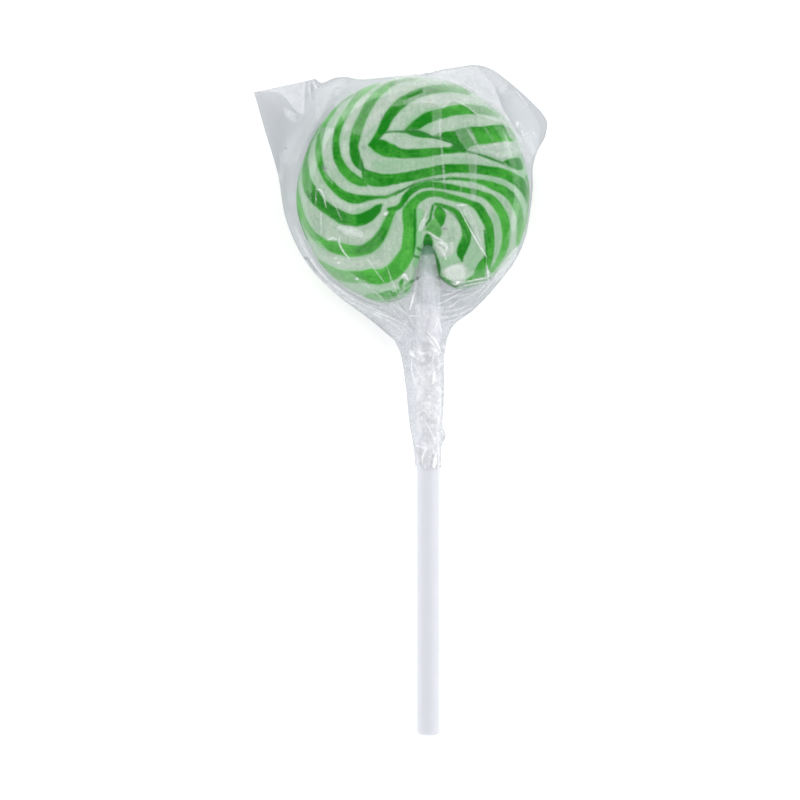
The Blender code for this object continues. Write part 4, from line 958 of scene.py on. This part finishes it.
def folds_along(fan, draw):
    """(height, crests) of pleats that run out from the neck, in (turn, reach) round it."""
    height, crests = np.zeros(len(fan)), np.zeros(len(fan))
    for pitch in (1.0, 0.62, 0.37, 0.23):
        for _ in range(2):
            shift, lean = draw.uniform(), draw.uniform(-0.1, 0.1)
            bow = np.sin(fan[:, 1] * draw.uniform(1.0, 2.2) + 6 * shift)
            fold = zigzag(fan[:, 0] / pitch + shift + lean * fan[:, 1] + 0.18 * bow)
            patch = patchy(fan, draw, 1.2, 0.42)
            height += pitch * fold * (0.3 + 0.7 * patch)
            crests = np.maximum(crests, smooth(fold, 0.6, 1) * patch)
    return height / 2, crests


def sheet_faces(flip):
    width = COLUMNS + 1
    corner = (np.arange(ROWS)[:, None] * width + np.arange(COLUMNS)[None]).ravel()
    quads = np.column_stack([corner, corner + width, corner + width + 1, corner + 1])
    return (quads[:, ::-1] if flip else quads).tolist()


# FILM_WHITE is the colour of the film's whitening and of its painted highlights and haze; FILM_SHADE that of its darker
# marks and painted shade.
FILM_WHITE = (0.93, 0.94, 0.97)
FILM_SHADE = (0.16, 0.17, 0.19)
FRONT_TINT = (0.925, 0.93, 0.945)
# The back sheet is tinted darker than the front; part of that is painted shade under the bag.
BACK_TINT = (0.655, 0.67, 0.695)


def film_look(piece, tint):
    """Clear film: mostly a tint, a share that mirrors the room, and whitening along its creases, partly the film's own
    and partly painted highlights, with painted shade.
    """
    wire = new_look("clear_film", piece)
    veil_and_sheen, white, dark = wire.stored("veil_and_sheen"), wire.stored("white"), wire.stored("dark")
    place = wire.node("TexCoord", out="Object")
    ripple = wire.noise(420.0, 3.0, 0.55, place)
    broken = wire.noise(1300.0, 2.0, 0.6, place)
    crinkle = wire.stored("crinkle")
    drawn = wire.node("Mapping", {}, {"Vector": place, "Scale": (1.0, 0.6, 1.0)})
    bent = wire.node("VectorMath", {"operation": "SCALE"}, {0: wire.node("TexNoise", {}, {
        "Vector": drawn, "Scale": 500.0, "Detail": 1.0}, out="Color"), "Scale": 0.0012})
    bent = wire.node("VectorMath", {}, {0: drawn, 1: bent})
    facet_colour = wire.node("TexVoronoi", {}, {"Vector": bent, "Scale": 1150.0}, out="Color")
    facet = wire.node("SeparateColor", {}, {"Color": facet_colour}, out="Red")
    edge = wire.node("TexVoronoi", {"feature": "DISTANCE_TO_EDGE"}, {"Vector": bent, "Scale": 1150.0}, out="Distance")
    # Painted glints along the edges of the crumpled facets.
    bright_edge = (1 - edge.ramp(0.0, 0.12)) * broken.ramp(0.52, 0.62)
    bump = wire.node("Bump", {}, {
        "Strength": 0.4, "Distance": 0.0002, "Height": ripple + 0.15 * broken + crinkle * facet * 0.8,
    })
    facing = wire.node("LayerWeight", {}, {"Blend": 0.5, "Normal": bump}, out="Facing")
    mirror = 0.026 + 0.55 * facing.maths("POWER", facing, 4.0)
    streaky = (0.3 + 1.8 * (broken - 0.5) + 0.7 * ripple).clamped()
    whitening_and_highlight = veil_and_sheen * (0.2 + 1.0 * ripple + 0.6 * broken) + white * (0.25 + 1.1 * streaky)
    # Painted light and shade on the crumpled tail: random facets lighter or darker, as if tilted to the lamps.
    whitening_and_highlight = (whitening_and_highlight + crinkle * (0.18 * facet + 0.20 * bright_edge)).clamped()
    dark = dark + crinkle * ((1 - facet).ramp(0.75, 1.0) * 0.10 + 0.02)
    share = (mirror + whitening_and_highlight + dark).clamped()
    shade = (dark / (dark + whitening_and_highlight + 0.02)).clamped()
    body = wire.node("BsdfPrincipled", {}, {
        "Base Color": shade.mixed(FILM_WHITE, FILM_SHADE), "Metallic": (1 - 4.0 * whitening_and_highlight - 4.0 * dark).clamped(),
        "Roughness": (0.10 + 0.6 * whitening_and_highlight + 0.06 * broken).clamped(), "IOR": 1.5, "Normal": bump,
    })
    clear = wire.node("BsdfTransparent", {}, {"Color": (*tint, 1)})
    wire.node("OutputMaterial", {}, {"Surface": wire.node("MixShader", {}, {0: share, 1: clear, 2: body})})


for name, side, seed, marks, hazes, tint in (
    ("film_front", 1, 11, MARKS, HAZES, FRONT_TINT),
    ("film_back", -1, 23, [], [], BACK_TINT),
):
    height, stored = sheet_shape(seed, marks, hazes)
    rise = np.maximum(base_lift + 0.8 * height - 0.15 * smooth(edge_depth, 0, 1), floor_lift + 0.08)
    if side < 0:
        rise = rise * (head_mid - bag_low[2] - 0.03) / rise.max()
    z = head_mid + side * rise
    points = np.column_stack([flat, z.reshape(-1)])
    film = mesh_piece(name, points, sheet_faces(side < 0))
    for label, values in stored.items():
        store(film, label, values.reshape(-1))
    film_look(film, tint)
    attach(film, "root")
    if side > 0:
        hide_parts("wrapper")


# ---- Table, lights and camera --------------------------------------------------------------------
# The lollipop lies on a pale matt table under large soft lamps, seen from straight above.

VIEW_WIDTH = 138.0
SENSOR = 36.0

table = mesh_piece("table", np.array([(-900.0, -900, 0), (900, -900, 0), (900, 900, 0), (-900, 900, 0)]), [(0, 1, 2, 3)])
wire = new_look("pale_table", table)
cloud = wire.noise(4.0)
surface = wire.node("BsdfPrincipled", {}, {
    "Base Color": cloud.mixed((0.90, 0.90, 0.90), (0.93, 0.93, 0.93)), "Roughness": 0.9,
    "Emission Color": (1, 1, 1, 1), "Emission Strength": 0.35,
})
wire.node("OutputMaterial", {}, {"Surface": surface})

world = bpy.data.worlds.new("studio")
world.use_nodes = True
tree = world.node_tree
tree.nodes.clear()
sky = Wire(tree)
up = sky.node("SeparateXYZ", {}, {"Vector": sky.node("TexCoord", out="Generated")}, out="Z")
glow = (1 - up.ramp(0.25, 0.80)) * 1.25 + 0.06
background = sky.node("Background", {}, {"Color": (1.0, 1.0, 1.0, 1.0), "Strength": glow})
sky.node("OutputWorld", {}, {"Surface": background})
bpy.context.scene.world = world


def lamp(name, azimuth, from_zenith, distance, size, power):
    data = bpy.data.lights.new(name, "AREA")
    data.shape = "RECTANGLE"
    data.size, data.size_y = size
    data.energy = power
    obj = bpy.data.objects.new(name, data)
    a, e = math.radians(azimuth), math.radians(from_zenith)
    aim = Vector((LOOK_FROM[0] * MM, -0.01, 0.005))
    way = Vector((math.sin(e) * math.cos(a), math.sin(e) * math.sin(a), math.cos(e)))
    obj.location = aim + way * distance
    obj.rotation_mode = "QUATERNION"
    obj.rotation_quaternion = way.to_track_quat("Z", "Y")
    bpy.context.scene.collection.objects.link(obj)


lamp("key", 15, 48, 0.7, (0.70, 0.50), 2.3)
lamp("fill", 135, 48, 0.7, (0.70, 0.50), 2.1)
lamp("low", 262, 52, 0.7, (0.70, 0.40), 1.3)

camera_data = bpy.data.cameras.new("camera")
camera_data.lens, camera_data.sensor_width = SENSOR * LOOK_HEIGHT / VIEW_WIDTH, SENSOR
camera = bpy.data.objects.new("camera", camera_data)
bpy.context.scene.collection.objects.link(camera)
camera.location = Vector((*LOOK_FROM, head_mid + LOOK_HEIGHT)) * MM
camera_data.clip_start, camera_data.clip_end = 0.01, 5.0
bpy.context.scene.camera = camera
bpy.context.scene.view_settings.view_transform = "Standard"
